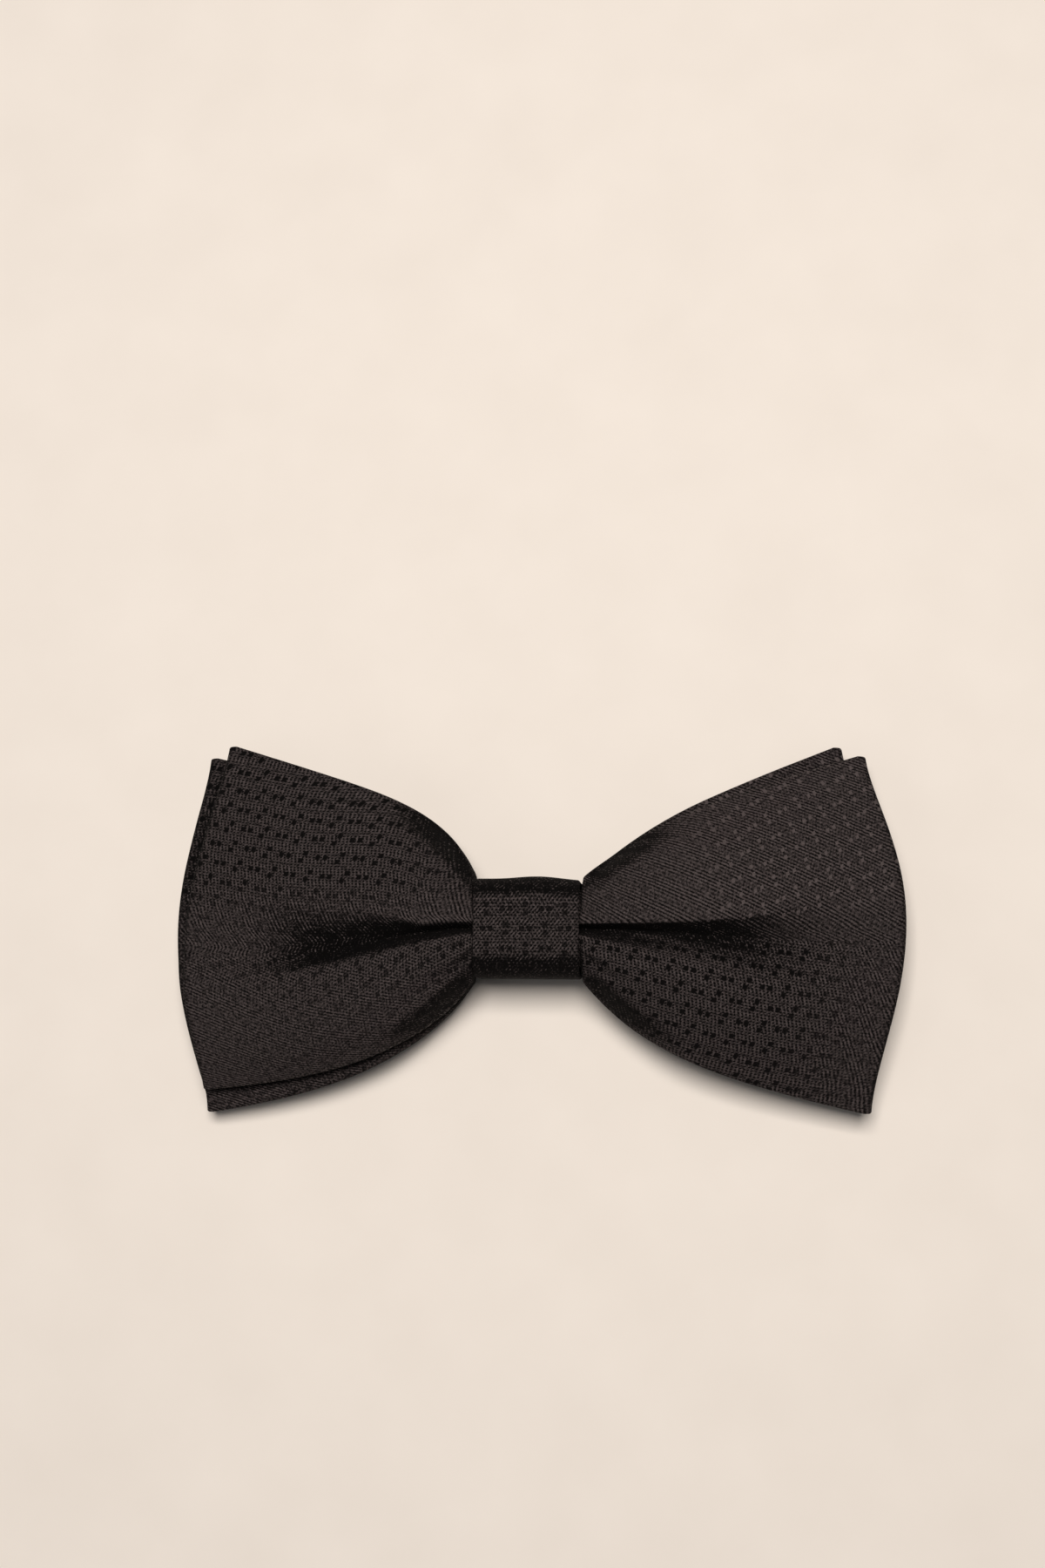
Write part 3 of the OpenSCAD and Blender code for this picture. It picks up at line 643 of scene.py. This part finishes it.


def painted_shade(grid, stops):
    """Painted shade, as the share of brightness left: darker where the cloth turns away from the
    front or back, down in the crease, and where the edges roll back beside the knot."""
    normal = np.cross(np.gradient(grid, axis=0), np.gradient(grid, axis=1))
    level = np.abs(normal[..., 2]) / np.linalg.norm(normal, axis=2)
    side, u = stops[:, 0][:, None], stops[:, 1][:, None]
    middle = grid.shape[1] // 2
    d = grid[..., 1] - grid[:, middle:middle + 1, 1]
    # painted shade in the crease: the left wing's opens out, the right wing's ends sharply at its ridge
    opened = smooth(0.3, 0.5, u)
    left_slope = smooth(lerp(1.1, 1.0, opened), lerp(0.6, 0.3, opened), d / flank(-1, u))
    left = np.where(d > 0, left_slope, smooth(1.2, 0.3, -d / (0.8 + 4.0 * u)))
    left = left * (1 - smooth(*CREASE_SHADE_ENDS[-1], u))
    lower = 0.9 + 15.0 * np.maximum(u - 0.24, 0)
    right = np.where(d > 0, smooth(1.06, 0.92, d / flank(1, u)), smooth(1.3, 0.3, -d / lower))
    right = right * (1 - smooth(*CREASE_SHADE_ENDS[1], u))
    crease = np.where(side < 0, left, right)
    # painted shade on the rolled edges, and the rim below the lower one painted lighter again
    from_edge = np.where(d > 0, d[:, -1:], -d[:, :1]) - np.abs(d)
    wedge = smooth(4.4, 1.6, from_edge) * smooth(0.0, 0.05, u) * (1 - smooth(*WEDGE_ENDS, u))
    below = WEDGE_SHADE["bottom"] * smooth(0.5, 1.8, from_edge)
    wedge = np.where(d > 0, WEDGE_SHADE["top"], below) * wedge
    rim = np.where(d > 0, 0.0, smooth(2.6, 0.8, from_edge)) * smooth(0.03, 0.1, u)
    level = np.minimum(level + RIM_LIFT * rim, 1.0)
    facing = lerp(SHEEN_LEAST, 1.0, smooth(*SHEEN_FACING, level))
    return facing * (1 - CREASE_SHADE * crease) * (1 - wedge)


# The cloth's threads on each lobe of each wing, as the shares of the distances along and across
# the strip that make the distance along the weft and then along the warp. They were skewed
# when the bow was pleated.
GRAIN = {
    (-1, "upper"): ((0.937, -0.445), (0.180, 1.022)),
    (-1, "lower"): ((0.962, 0.294), (-0.393, 0.926)),
    (1, "upper"): ((1.050, 0.129), (-0.463, 0.950)),
    (1, "lower"): ((0.967, -0.333), (0.125, 1.015)),
}
# How far the upright threads lean there
LEAN = {(-1, "upper"): 0.45, (-1, "lower"): -0.30, (1, "upper"): -0.13, (1, "lower"): 0.33}

REAR_PAINTED_DIM = 0.75  # painted shade: share of brightness that the rear bow keeps
FRONT_SHADE = 0.3  # painted shadow: share of that right beside the front bow
FRONT_SHADE_REACH = (0.2, 1.3)  # where past the front bow's edge it goes back to full


def painted_front_shadow(grid, stops):
    """Painted shadow of the front bow on the rear one: little brightness left right beside its edge."""
    side = stops[:, 0][:, None]
    beyond = np.zeros(grid.shape[:2])
    for wing in (-1, 1):
        x, y = wing * grid[..., 0], grid[..., 1]
        front_u = np.clip((x - knot_half_w) / wing_length(False, wing, 0.0), 0.02, 1.0)
        above = y - edge_height(False, wing, "top", front_u)
        below = -y - edge_height(False, wing, "bottom", front_u)
        half, middle = wing_span(False, wing, 1.0)
        v = np.clip((y - middle) / half, -1, 1)
        past_end = x - knot_half_w - wing_length(False, wing, v) - END_R
        past = np.maximum(np.maximum(above, below), past_end)
        beyond = np.where(side == wing, past, beyond)
    return lerp(FRONT_SHADE, 1.0, smooth(*FRONT_SHADE_REACH, beyond))


def grain(grid, stops, lobe):
    """UVs in millimetres along the threads, as they lie on the upper or the lower lobe."""
    along = arc_length(grid, 0)
    along = along - along[len(stops) // 2]
    across = arc_length(grid, 1)
    middle = grid.shape[1] // 2
    across = across - across[:, middle:middle + 1]
    right = stops[:, 0][:, None] > 0
    uv = []
    for left_shares, right_shares in zip(GRAIN[-1, lobe], GRAIN[1, lobe]):
        uv.append(np.where(right, right_shares[0] * along + right_shares[1] * across,
                           left_shares[0] * along + left_shares[1] * across))
    return np.stack(uv, axis=-1)


def painted_sheen_flip(grid, stops, lobe):
    """Painted highlight or shade on the squares, for how they take the light: 0 paints them darker
    than the ground, 1 lighter. It turns with the grain, which is skewed most on the upper lobe
    of the right wing."""
    side, u = stops[:, 0][:, None], stops[:, 1][:, None]
    y = grid[..., 1]
    if lobe == "upper":
        left = 0.02 + 0.3 * smooth(9.0, 1.0, y) + 0.2 * smooth(0.35, 0.0, u)
        above_valley = (y - y[:, y.shape[1] // 2][:, None]) / flank(1, u)
        right = 0.42 + 0.58 * smooth(0.2, 0.62, u) * smooth(0.45, 1.0, above_valley)
    else:
        left = 0.12 + 0.2 * smooth(-4.0, -16.0, y) + 0.12 * smooth(0.6, 1.0, u)
        right = 0.02 + 0.3 * smooth(0.62, 1.0, u) + 0.1 * smooth(-3.0, 0.0, y)
    return np.where(side < 0, left, right) * np.ones_like(y)


def bow(name, rear):
    grid, lift, stops = strip_grid(rear)
    cols = grid.shape[1]
    # painted shade, and on the rear bow a painted dimming and a painted shadow beside the front bow
    painted_lightness = painted_shade(grid, stops) * (REAR_PAINTED_DIM * painted_front_shadow(grid, stops) if rear else 1.0)
    uvs, looks = [], []
    for lobe in ("lower", "upper"):
        points, faces, uv = strip_mesh(grid, lift, PANEL_T, grain(grid, stops, lobe))
        lean = np.where(stops[:, 0] > 0, LEAN[1, lobe], LEAN[-1, lobe])[:, None]
        look = [painted_sheen_flip(grid, stops, lobe), painted_lightness, lean + 0 * painted_lightness, 0 * painted_lightness]
        look = np.stack(look, axis=-1)
        uvs.append(uv)
        looks.append(np.concatenate([look, look[:, ::-1]], axis=1).reshape(-1, 4))
    ring_column = np.concatenate([np.arange(cols), np.arange(cols)[::-1]])
    lowest = np.array([min(ring_column[k % (2 * cols)] for k in face) for face in faces])
    on_upper = lowest >= cols // 2
    return finish_mesh(name, points, faces, uvs, "jacquard", "bow", (name,), looks, on_upper)


LINING_T = 0.3
LINING_INSET = 0.6  # from the cloth's edges


def bow_lining(name, rear):
    grid, lift, _ = strip_grid(rear, LINING_INSET)
    points, faces, uvs = strip_mesh(grid, lift, LINING_T, grid[..., :2])
    return finish_mesh(name, points, faces, uvs, "interlining", "bow", (name,))


front_bow = bow("front_bow_cover", False)
rear_bow = bow("rear_bow_cover", True)
front_lining = bow_lining("front_bow_interlining", False)
rear_lining = bow_lining("rear_bow_interlining", True)


# ---------------------------------------------------------------- knot
def rounded_path(count, half, low, high, back_r, front_r):
    """Points (y, z) round a rectangle with rounded corners, from the middle of its back, and
    how far along each is."""
    corners = (
        (half - back_r, low + back_r, back_r, -90), (half - front_r, high - front_r, front_r, 0),
        (-half + front_r, high - front_r, front_r, 90), (-half + back_r, low + back_r, back_r, 180),
    )
    course = [(0.0, low)]
    for y, z, r, start in corners:
        for angle in np.radians(np.linspace(start, start + 90, 24)):
            course.append((y + r * math.cos(angle), z + r * math.sin(angle)))
    course = np.array(course + [(0.0, low)])
    length = np.concatenate([[0], np.cumsum(np.linalg.norm(np.diff(course, axis=0), axis=1))])
    even = np.linspace(0, length[-1], count, endpoint=False)
    return np.stack([np.interp(even, length, course[:, k]) for k in (0, 1)], axis=-1), even


KNOT_FRONT_R = 4.4
KNOT_BACK_R = 1.6
KNOT_BULGE = 0.25  # of its front
KNOT_ARCH = 0.38  # of its top edge, higher in the middle
KNOT_TILT = 0.14  # of its top edge, higher on one side
WRAP_T = 1.1
KNOT_LINING_T = 0.35
SEAM_HALF = 1.4  # the closing seam at the knot's back
SEAM_RISE = 0.25


def knot_grid(count, x, inset):
    """The wrap's surface at a depth below its outside, as a grid with its directions of
    thickness and its UVs."""
    path, even = rounded_path(count, knot_half_h - inset, knot_back + inset, knot_front - inset,
                              KNOT_BACK_R - inset, KNOT_FRONT_R - inset)
    grid = np.zeros((len(path), len(x), 3))
    grid[..., 0] = x[None, :]
    grid[..., 1:] = path[:, None, :]
    y = grid[..., 1]
    front = smooth(knot_front - 6, knot_front - 1, grid[..., 2])
    bulge = KNOT_BULGE * (1 - (y / knot_half_h) ** 2)
    from_middle = grid[..., 0] / knot_half_w
    bow_up = KNOT_ARCH * (1 - from_middle**2) + KNOT_TILT * np.sin(from_middle * 4.4 + 0.6)
    bow_up = bow_up * smooth(2.0, knot_half_h, y)
    grid[..., 1] += bow_up * smooth(knot_back + 1.5, knot_back + 5.0, grid[..., 2])
    grid[..., 2] += (bulge + 0.08 * ripples(grid[..., 0] * 1.6, y * 3.0, 11)) * front
    back = smooth(knot_back + 1.2, knot_back + 0.7, grid[..., 2])
    ridge = 0.15 * np.exp(-((y / 0.25) ** 2))
    seam = SEAM_RISE * smooth(SEAM_HALF + 0.4, SEAM_HALF - 0.2, np.abs(y)) + ridge
    grid[..., 2] += seam * back
    across = np.roll(grid, -1, axis=0) - np.roll(grid, 1, axis=0)
    lift = np.cross(across, np.gradient(grid, axis=1))
    lift = lift / np.linalg.norm(lift, axis=2, keepdims=True)
    uv = np.stack(np.broadcast_arrays(x[None, :], even[:, None] * np.ones_like(x)[None, :]), axis=-1)
    return grid, lift, uv


KNOT_PAINTED_LIGHTNESS = 0.88  # painted shade: share of brightness that the knot's front keeps
KNOT_PAINTED_FLIP = 0.15  # painted shade: its squares are painted darker than the ground


def knot_wrap():
    grid, lift, uv = knot_grid(220, edge_stops(knot_half_w, 65, WRAP_T), WRAP_T / 2)
    points, faces, uvs = strip_mesh(grid, lift, WRAP_T, uv, closed=True)
    # painted shade on the knot's rolled edges, deeper on the lower one, away from the light above
    turned_away = np.where(grid[..., 1] < 0, 0.25, 0.06) * np.abs(lift[..., 1])
    towards_front = np.abs(lift[..., 2]) - turned_away
    painted_lightness = lerp(SHEEN_LEAST * 0.6, KNOT_PAINTED_LIGHTNESS, smooth(0.84, 0.985, towards_front))
    look = np.stack([np.full_like(painted_lightness, KNOT_PAINTED_FLIP), painted_lightness, 0 * painted_lightness, 0 * painted_lightness], axis=-1)
    looks = np.concatenate([look, look[:, ::-1]], axis=1).reshape(-1, 4)
    return finish_mesh("knot_wrap", points, faces, uvs, "jacquard", "bow", ("knot_wrap",), looks)


def knot_lining():
    grid, lift, uv = knot_grid(120, edge_stops(knot_half_w - LINING_INSET, 21, KNOT_LINING_T), WRAP_T / 2)
    points, faces, uvs = strip_mesh(grid, lift, KNOT_LINING_T, uv, closed=True)
    return finish_mesh("knot_interlining", points, faces, uvs, "interlining", "bow", ("knot_interlining",))


# ---------------------------------------------------------------- threads
def tube(path, radius, sides=8):
    """Points, faces and UVs of a thread along a path that never runs along X."""
    path = np.asarray(path, float)
    count = len(path)
    along = np.gradient(path, axis=0)
    along = along / np.linalg.norm(along, axis=1, keepdims=True)
    first = np.cross(along, (1.0, 0.0, 0.0))
    first = first / np.linalg.norm(first, axis=1, keepdims=True)
    second = np.cross(along, first)
    angle = np.arange(sides) * 2 * math.pi / sides
    ring = first[:, None] * np.cos(angle)[None, :, None] + second[:, None] * np.sin(angle)[None, :, None]
    radius = np.broadcast_to(radius, count)
    points = path[:, None] + ring * radius[:, None, None]
    length = np.concatenate([[0], np.cumsum(np.linalg.norm(np.diff(path, axis=0), axis=1))])
    uv = np.stack(np.broadcast_arrays(length[:, None], (angle * radius.max())[None, :]), axis=-1)
    i, k = np.meshgrid(np.arange(count - 1), np.arange(sides), indexing="ij")
    k2 = (k + 1) % sides
    faces = np.stack([i * sides + k, i * sides + k2, (i + 1) * sides + k2, (i + 1) * sides + k], axis=-1)
    faces = faces.reshape(-1, 4).tolist()
    faces.append(list(range(sides))[::-1])
    faces.append(list(range((count - 1) * sides, count * sides)))
    return points.reshape(-1, 3), faces, uv.reshape(-1, 2)


def threads(name, tubes, body, stands_for):
    points, faces, uvs, base = [], [], [], 0
    for tube_points, tube_faces, tube_uvs in tubes:
        points.append(tube_points)
        uvs.append(tube_uvs)
        faces.extend([[base + k for k in face] for face in tube_faces])
        base += len(tube_points)
    return finish_mesh(name, np.concatenate(points), faces, np.concatenate(uvs), "thread", body, stands_for)


STITCH_STOPS = 9


def stitch(start, end, radius, rise):
    """One stitch that comes out of the cloth at start and goes back in at end. rise is how far
    its middle stands off, as a vector."""
    t = np.linspace(0, 1, STITCH_STOPS)[:, None]
    straight = lerp(np.asarray(start, float), np.asarray(end, float), t)
    taper = np.sin(np.linspace(0.12, math.pi - 0.12, STITCH_STOPS)) * 1.6
    path = straight + np.asarray(rise) * np.sin(t * math.pi)
    return tube(path, radius * np.clip(taper, 0.3, 1.0))


def binding():
    """Thread wound tight round the pleated waist, its turns side by side."""
    radius, pitch, turns, per_turn = 0.14, 0.31, 13, 90
    path, _ = rounded_path(per_turn, WAIST_HALF + 0.1 + radius, BUNDLE_BASE - radius,
                           BUNDLE_TOP + radius, 0.5, 3.4 + radius)
    stop = np.arange(turns * per_turn)
    x = (stop / per_turn - turns / 2) * pitch
    course = np.column_stack([x, path[stop % per_turn]])
    tubes = [tube(course, radius, 7)]
    return threads("waist_binding_thread", tubes, "bow", ("waist_binding_thread",))


def closing_stitches():
    """Slanting whip stitches across the seam at the knot's back."""
    count, pitch, slant, radius = 8, 2.1, 0.28, 0.12
    z = knot_back + radius
    rows = []
    for i in range(count):
        x = (i - (count - 1) / 2) * pitch
        start, end = (x - slant, -SEAM_HALF, z), (x + slant, SEAM_HALF, z)
        rows.append(stitch(start, end, radius, (0, 0, -0.1)))
    return threads("knot_closing_stitches", rows, "bow", ("knot_closing_stitches",))


wrap = knot_wrap()
wrap_lining = knot_lining()
binding()
seam_thread = closing_stitches()


# ---------------------------------------------------------------- neck band
BAND_T = 0.7
LOOP_T = 0.35  # the band's ends, without interlining
FOLD_REACH = 37.0
RUN_A = band_top - BAND_T / 2  # heights of the folded band's runs, from the knot down
RUN_B, RUN_C, RUN_D = 5.5, 4.6, 3.7
FLOOR_RUN, LIFTED_RUN = 0.35, 0.95
EYE_X, EYE_Z = -42.2, RUN_A - 0.85
HOOK_X, HOOK_Z = 42.2, LIFTED_RUN + 0.7
SLIDER_X, SLIDE_BAR_Z = 13.0, 2.3
LOOP_R = 0.775  # from a bar's centre to the middle of the cloth round it
EYE_TAIL = -30.0  # where the band's end at the eye stops, on the way back
STRAP_START = 10.0  # where the strap to the hook starts
STEP_START, STEP_END = 36.0, 39.0  # where it steps down to the hook's bar and gets thinner
BEND_X = 41.0  # where it starts to bend round the bar
TAB_END = SLIDER_X + 4.5
TAB_R = 0.625  # from the slide's middle bar to the middle of the cloth round it
TAB_DROP = 0.19  # how far the tab's end is below its bar
COURSE_STEP = 1.6
BAND_SEED = 21


def arc(x, z, r, start, end):
    """Points (x, z) round an arc between two angles in degrees, from +X towards +Z."""
    angle = np.radians(np.linspace(start, end, 15))
    return list(zip(x + r * np.cos(angle), z + r * np.sin(angle)))


def fold_arc(x, z0, z1, side):
    """A half-round fold from height z0 to z1 at x."""
    angle = 90 if z0 > z1 else -90
    ends = (angle, -angle) if side > 0 else (angle, angle + math.copysign(180, angle))
    return arc(x, (z0 + z1) / 2, abs(z1 - z0) / 2, *ends)


def resample(course, step):
    """The course with extra points on its straight runs."""
    dense = [course[0]]
    for a, b in zip(course[:-1], course[1:]):
        pieces = max(1, round(math.dist(a, b) / step))
        shares = [k / pieces for k in range(1, pieces + 1)]
        dense += [(lerp(a[0], b[0], t), lerp(a[1], b[1], t)) for t in shares]
    return np.array(dense)


def band_strip(name, course, thickness, body, slot, stands_for, inset=0.0, waves=0.05):
    """A length of band along a course of points (x, z). thickness is one value, or a function
    of the points and their distances along the course. waves is how far the cloth ripples."""
    path = resample(course, COURSE_STEP)
    length = np.concatenate([[0], np.cumsum(np.linalg.norm(np.diff(path, axis=0), axis=1))])
    thick = thickness(path, length) if callable(thickness) else np.full(len(path), thickness)
    y = edge_stops(band_half_w - inset, 23, thick.max())
    tangent = np.gradient(path, axis=0)
    tangent = tangent / np.linalg.norm(tangent, axis=1, keepdims=True)
    grid = np.zeros((len(path), len(y), 3))
    grid[..., 0], grid[..., 2] = path[:, None, 0], path[:, None, 1]
    grid[..., 1] = y[None, :]
    lift = np.zeros_like(grid)
    lift[..., 0], lift[..., 2] = -tangent[:, None, 1], tangent[:, None, 0]
    soft = waves * ripples(length[:, None] + 0 * y[None, :], grid[..., 1] * 2.0, BAND_SEED, longest=18.0)
    soft *= smooth(0.0, 4.0, np.minimum(length, length[-1] - length))[:, None]
    grid += lift * soft[..., None]
    grid[..., 2] = np.maximum(grid[..., 2], thick.max() / 2 + 0.01)
    uv = np.stack(np.broadcast_arrays(length[:, None], y[None, :]), axis=-1)
    points, faces, uvs = strip_mesh(grid, lift, thick, uv)
    return finish_mesh(name, points, faces, uvs, slot, body, stands_for)


runs = [(-FOLD_REACH, RUN_A), (FOLD_REACH, RUN_A)]
runs += fold_arc(FOLD_REACH, RUN_A, RUN_B, 1) + fold_arc(-FOLD_REACH, RUN_B, RUN_C, -1)
runs += fold_arc(FOLD_REACH, RUN_C, RUN_D, 1) + fold_arc(-FOLD_REACH, RUN_D, FLOOR_RUN, -1)
runs += [(3.0, FLOOR_RUN), (7.0, LIFTED_RUN), (STRAP_START, LIFTED_RUN)]
eye_loop = [(EYE_TAIL, EYE_Z - LOOP_R)] + arc(EYE_X, EYE_Z, LOOP_R, 270, 90)
eye_loop += [(EYE_X + 2, EYE_Z + LOOP_R)]


def band_thickness(path, length):
    """Thin round the eye's bar, then full."""
    joined = np.argmax(path[:, 1] >= RUN_A - 1e-6)
    return lerp(LOOP_T, BAND_T, smooth(length[joined] - 3.0, length[joined], length))


band = band_strip("neck_band", eye_loop + runs, band_thickness, "band", "band_cloth", ("neck_band",))
BAND_LINING_T = 0.24
lining_course = [(-FOLD_REACH + 0.8, RUN_A)] + runs[1:]
band_lining = band_strip("neck_band_interlining", lining_course, BAND_LINING_T, "band",
                         "interlining", ("neck_band_interlining",), inset=0.5, waves=0.0)


def strap_thickness(path, length):
    """Full on the band's side of the step, thin round the hook's bar."""
    return lerp(BAND_T, LOOP_T, smooth(STEP_START, STEP_END, path[:, 0]))


lower_course = [(STRAP_START, LIFTED_RUN), (STEP_START, LIFTED_RUN)]
lower_course += [(STEP_END, HOOK_Z - LOOP_R), (BEND_X, HOOK_Z - LOOP_R)]
lower_strap = band_strip("hook_strap", lower_course, strap_thickness, None, "band_cloth", ())
return_course = [(BEND_X, HOOK_Z - LOOP_R)] + arc(HOOK_X, HOOK_Z, LOOP_R, -90, 90)
return_course += [(26.0, HOOK_Z + LOOP_R), (TAB_END + 1.0, SLIDE_BAR_Z + TAB_R)]
return_course += arc(SLIDER_X, SLIDE_BAR_Z, TAB_R, 90, 270)
return_course += [(TAB_END - 1.5, SLIDE_BAR_Z - TAB_DROP), (TAB_END, SLIDE_BAR_Z - TAB_DROP)]
return_strap = band_strip("hook_return_strap", return_course, LOOP_T, None, "band_cloth",
                          ("band_hook_loop", "band_slider_tab"), waves=0.02)
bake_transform(lower_strap)
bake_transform(return_strap)


def stitch_row(x, z, side):
    """Running stitches across the band at x, on its upper side at z or its lower one."""
    count, share, radius = 6, 0.62, 0.11
    pitch = 2 * band_half_w / count
    half = pitch * share / 2
    rows = []
    for i in range(count):
        y = (i - (count - 1) / 2) * pitch
        start, end = (x, y - half, z), (x + 0.06, y + half, z)
        rows.append(stitch(start, end, radius, (0, 0, side * radius)))
    return rows


rows = []
for x in (EYE_TAIL - 1, EYE_TAIL - 4):
    rows += stitch_row(x, band_top, 1) + stitch_row(x, EYE_Z - LOOP_R - LOOP_T / 2, -1)
eye_thread = threads("eye_end_stitches", rows, "band", ("eye_end_stitches",))
rows = []
for x in (TAB_END - 1, TAB_END - 2.2):
    rows += stitch_row(x, SLIDE_BAR_Z + TAB_R + LOOP_T / 2 - 0.03, 1)
tab_thread = threads("slider_tab_stitches", rows, "slider", ("slider_tab_stitches",))


# ---------------------------------------------------------------- metal fittings
def round_off(name):
    """A stamped fitting: the CAD node in nickel, with its edges rounded off."""
    node = nodes[name]
    node.data.materials.clear()
    node.data.materials.append(MATERIALS["nickel"])
    bevel = node.modifiers.new("edges", "BEVEL")
    bevel.width = 0.12 * MM
    bevel.segments = 3
    bevel.limit_method = "ANGLE"
    bevel.angle_limit = math.radians(35)


for name in ("eye", "hook", "slider"):
    round_off(name)


# ---------------------------------------------------------------- floor, light, camera
def floor():
    """A wide plane of warm pale card under the tie."""
    g = Graph("floor")
    place = g.node("ShaderNodeTexCoord").outputs["Object"]
    fleck = g.noise(place, 60.0, 4.0)
    g.set(Base_Color=g.mix(fleck, (0.73, 0.66, 0.59, 1), (0.79, 0.72, 0.65, 1)), Roughness=0.85)
    mesh = bpy.data.meshes.new("floor")
    corners = [(-2, -2, 0), (2, -2, 0), (2, 2, 0), (-2, 2, 0)]
    mesh.from_pydata(corners, [], [(0, 1, 2, 3)])
    mesh.materials.append(g.material)
    plane = bpy.data.objects.new("floor", mesh)
    bpy.context.scene.collection.objects.link(plane)


LIT_POINT = (0, 0, 0.01)


def area_light(name, place, size, power, colour):
    """A rectangular light at place, turned to the tie."""
    light = bpy.data.lights.new(name, "AREA")
    light.shape, light.size, light.size_y = "RECTANGLE", size[0], size[1]
    light.energy, light.color = power, colour
    lamp = bpy.data.objects.new(name, light)
    lamp.location = place
    lamp.rotation_mode = "QUATERNION"
    lamp.rotation_quaternion = (Vector(LIT_POINT) - Vector(place)).to_track_quat("-Z", "Y")
    bpy.context.scene.collection.objects.link(lamp)


floor()
area_light("key", (0.02, 0.15, 0.80), (0.30, 0.26), 7.2, (1.0, 0.965, 0.93))
area_light("fill", (-0.55, -0.35, 0.8), (0.6, 0.6), 0.5, (0.95, 0.97, 1.0))
world = bpy.data.worlds.new("world")
world.use_nodes = True
world.node_tree.nodes["Background"].inputs["Color"].default_value = (0.95, 0.96, 1.0, 1)
world.node_tree.nodes["Background"].inputs["Strength"].default_value = 0.08
bpy.context.scene.world = world

camera_data = bpy.data.cameras.new("camera")
camera_data.lens = 49.2
camera_data.sensor_width = 36.0
camera_data.clip_start = 0.01
camera = bpy.data.objects.new("camera", camera_data)
camera.location = (0.0274, -0.0183, 0.372)
camera.rotation_mode = "QUATERNION"
look_at = Vector((-0.0023, 0.0261, 0.0))
# the camera's upright is kept square to +X, so that the bow lies level in the view
forward = (look_at - camera.location).normalized()
right = Vector((1, 0, 0))
right = (right - forward * right.dot(forward)).normalized()
up = right.cross(forward)
camera.rotation_quaternion = Matrix((right, up, -forward)).transposed().to_quaternion()
bpy.context.scene.collection.objects.link(camera)
bpy.context.scene.camera = camera
bpy.context.scene.view_settings.view_transform = "Standard"
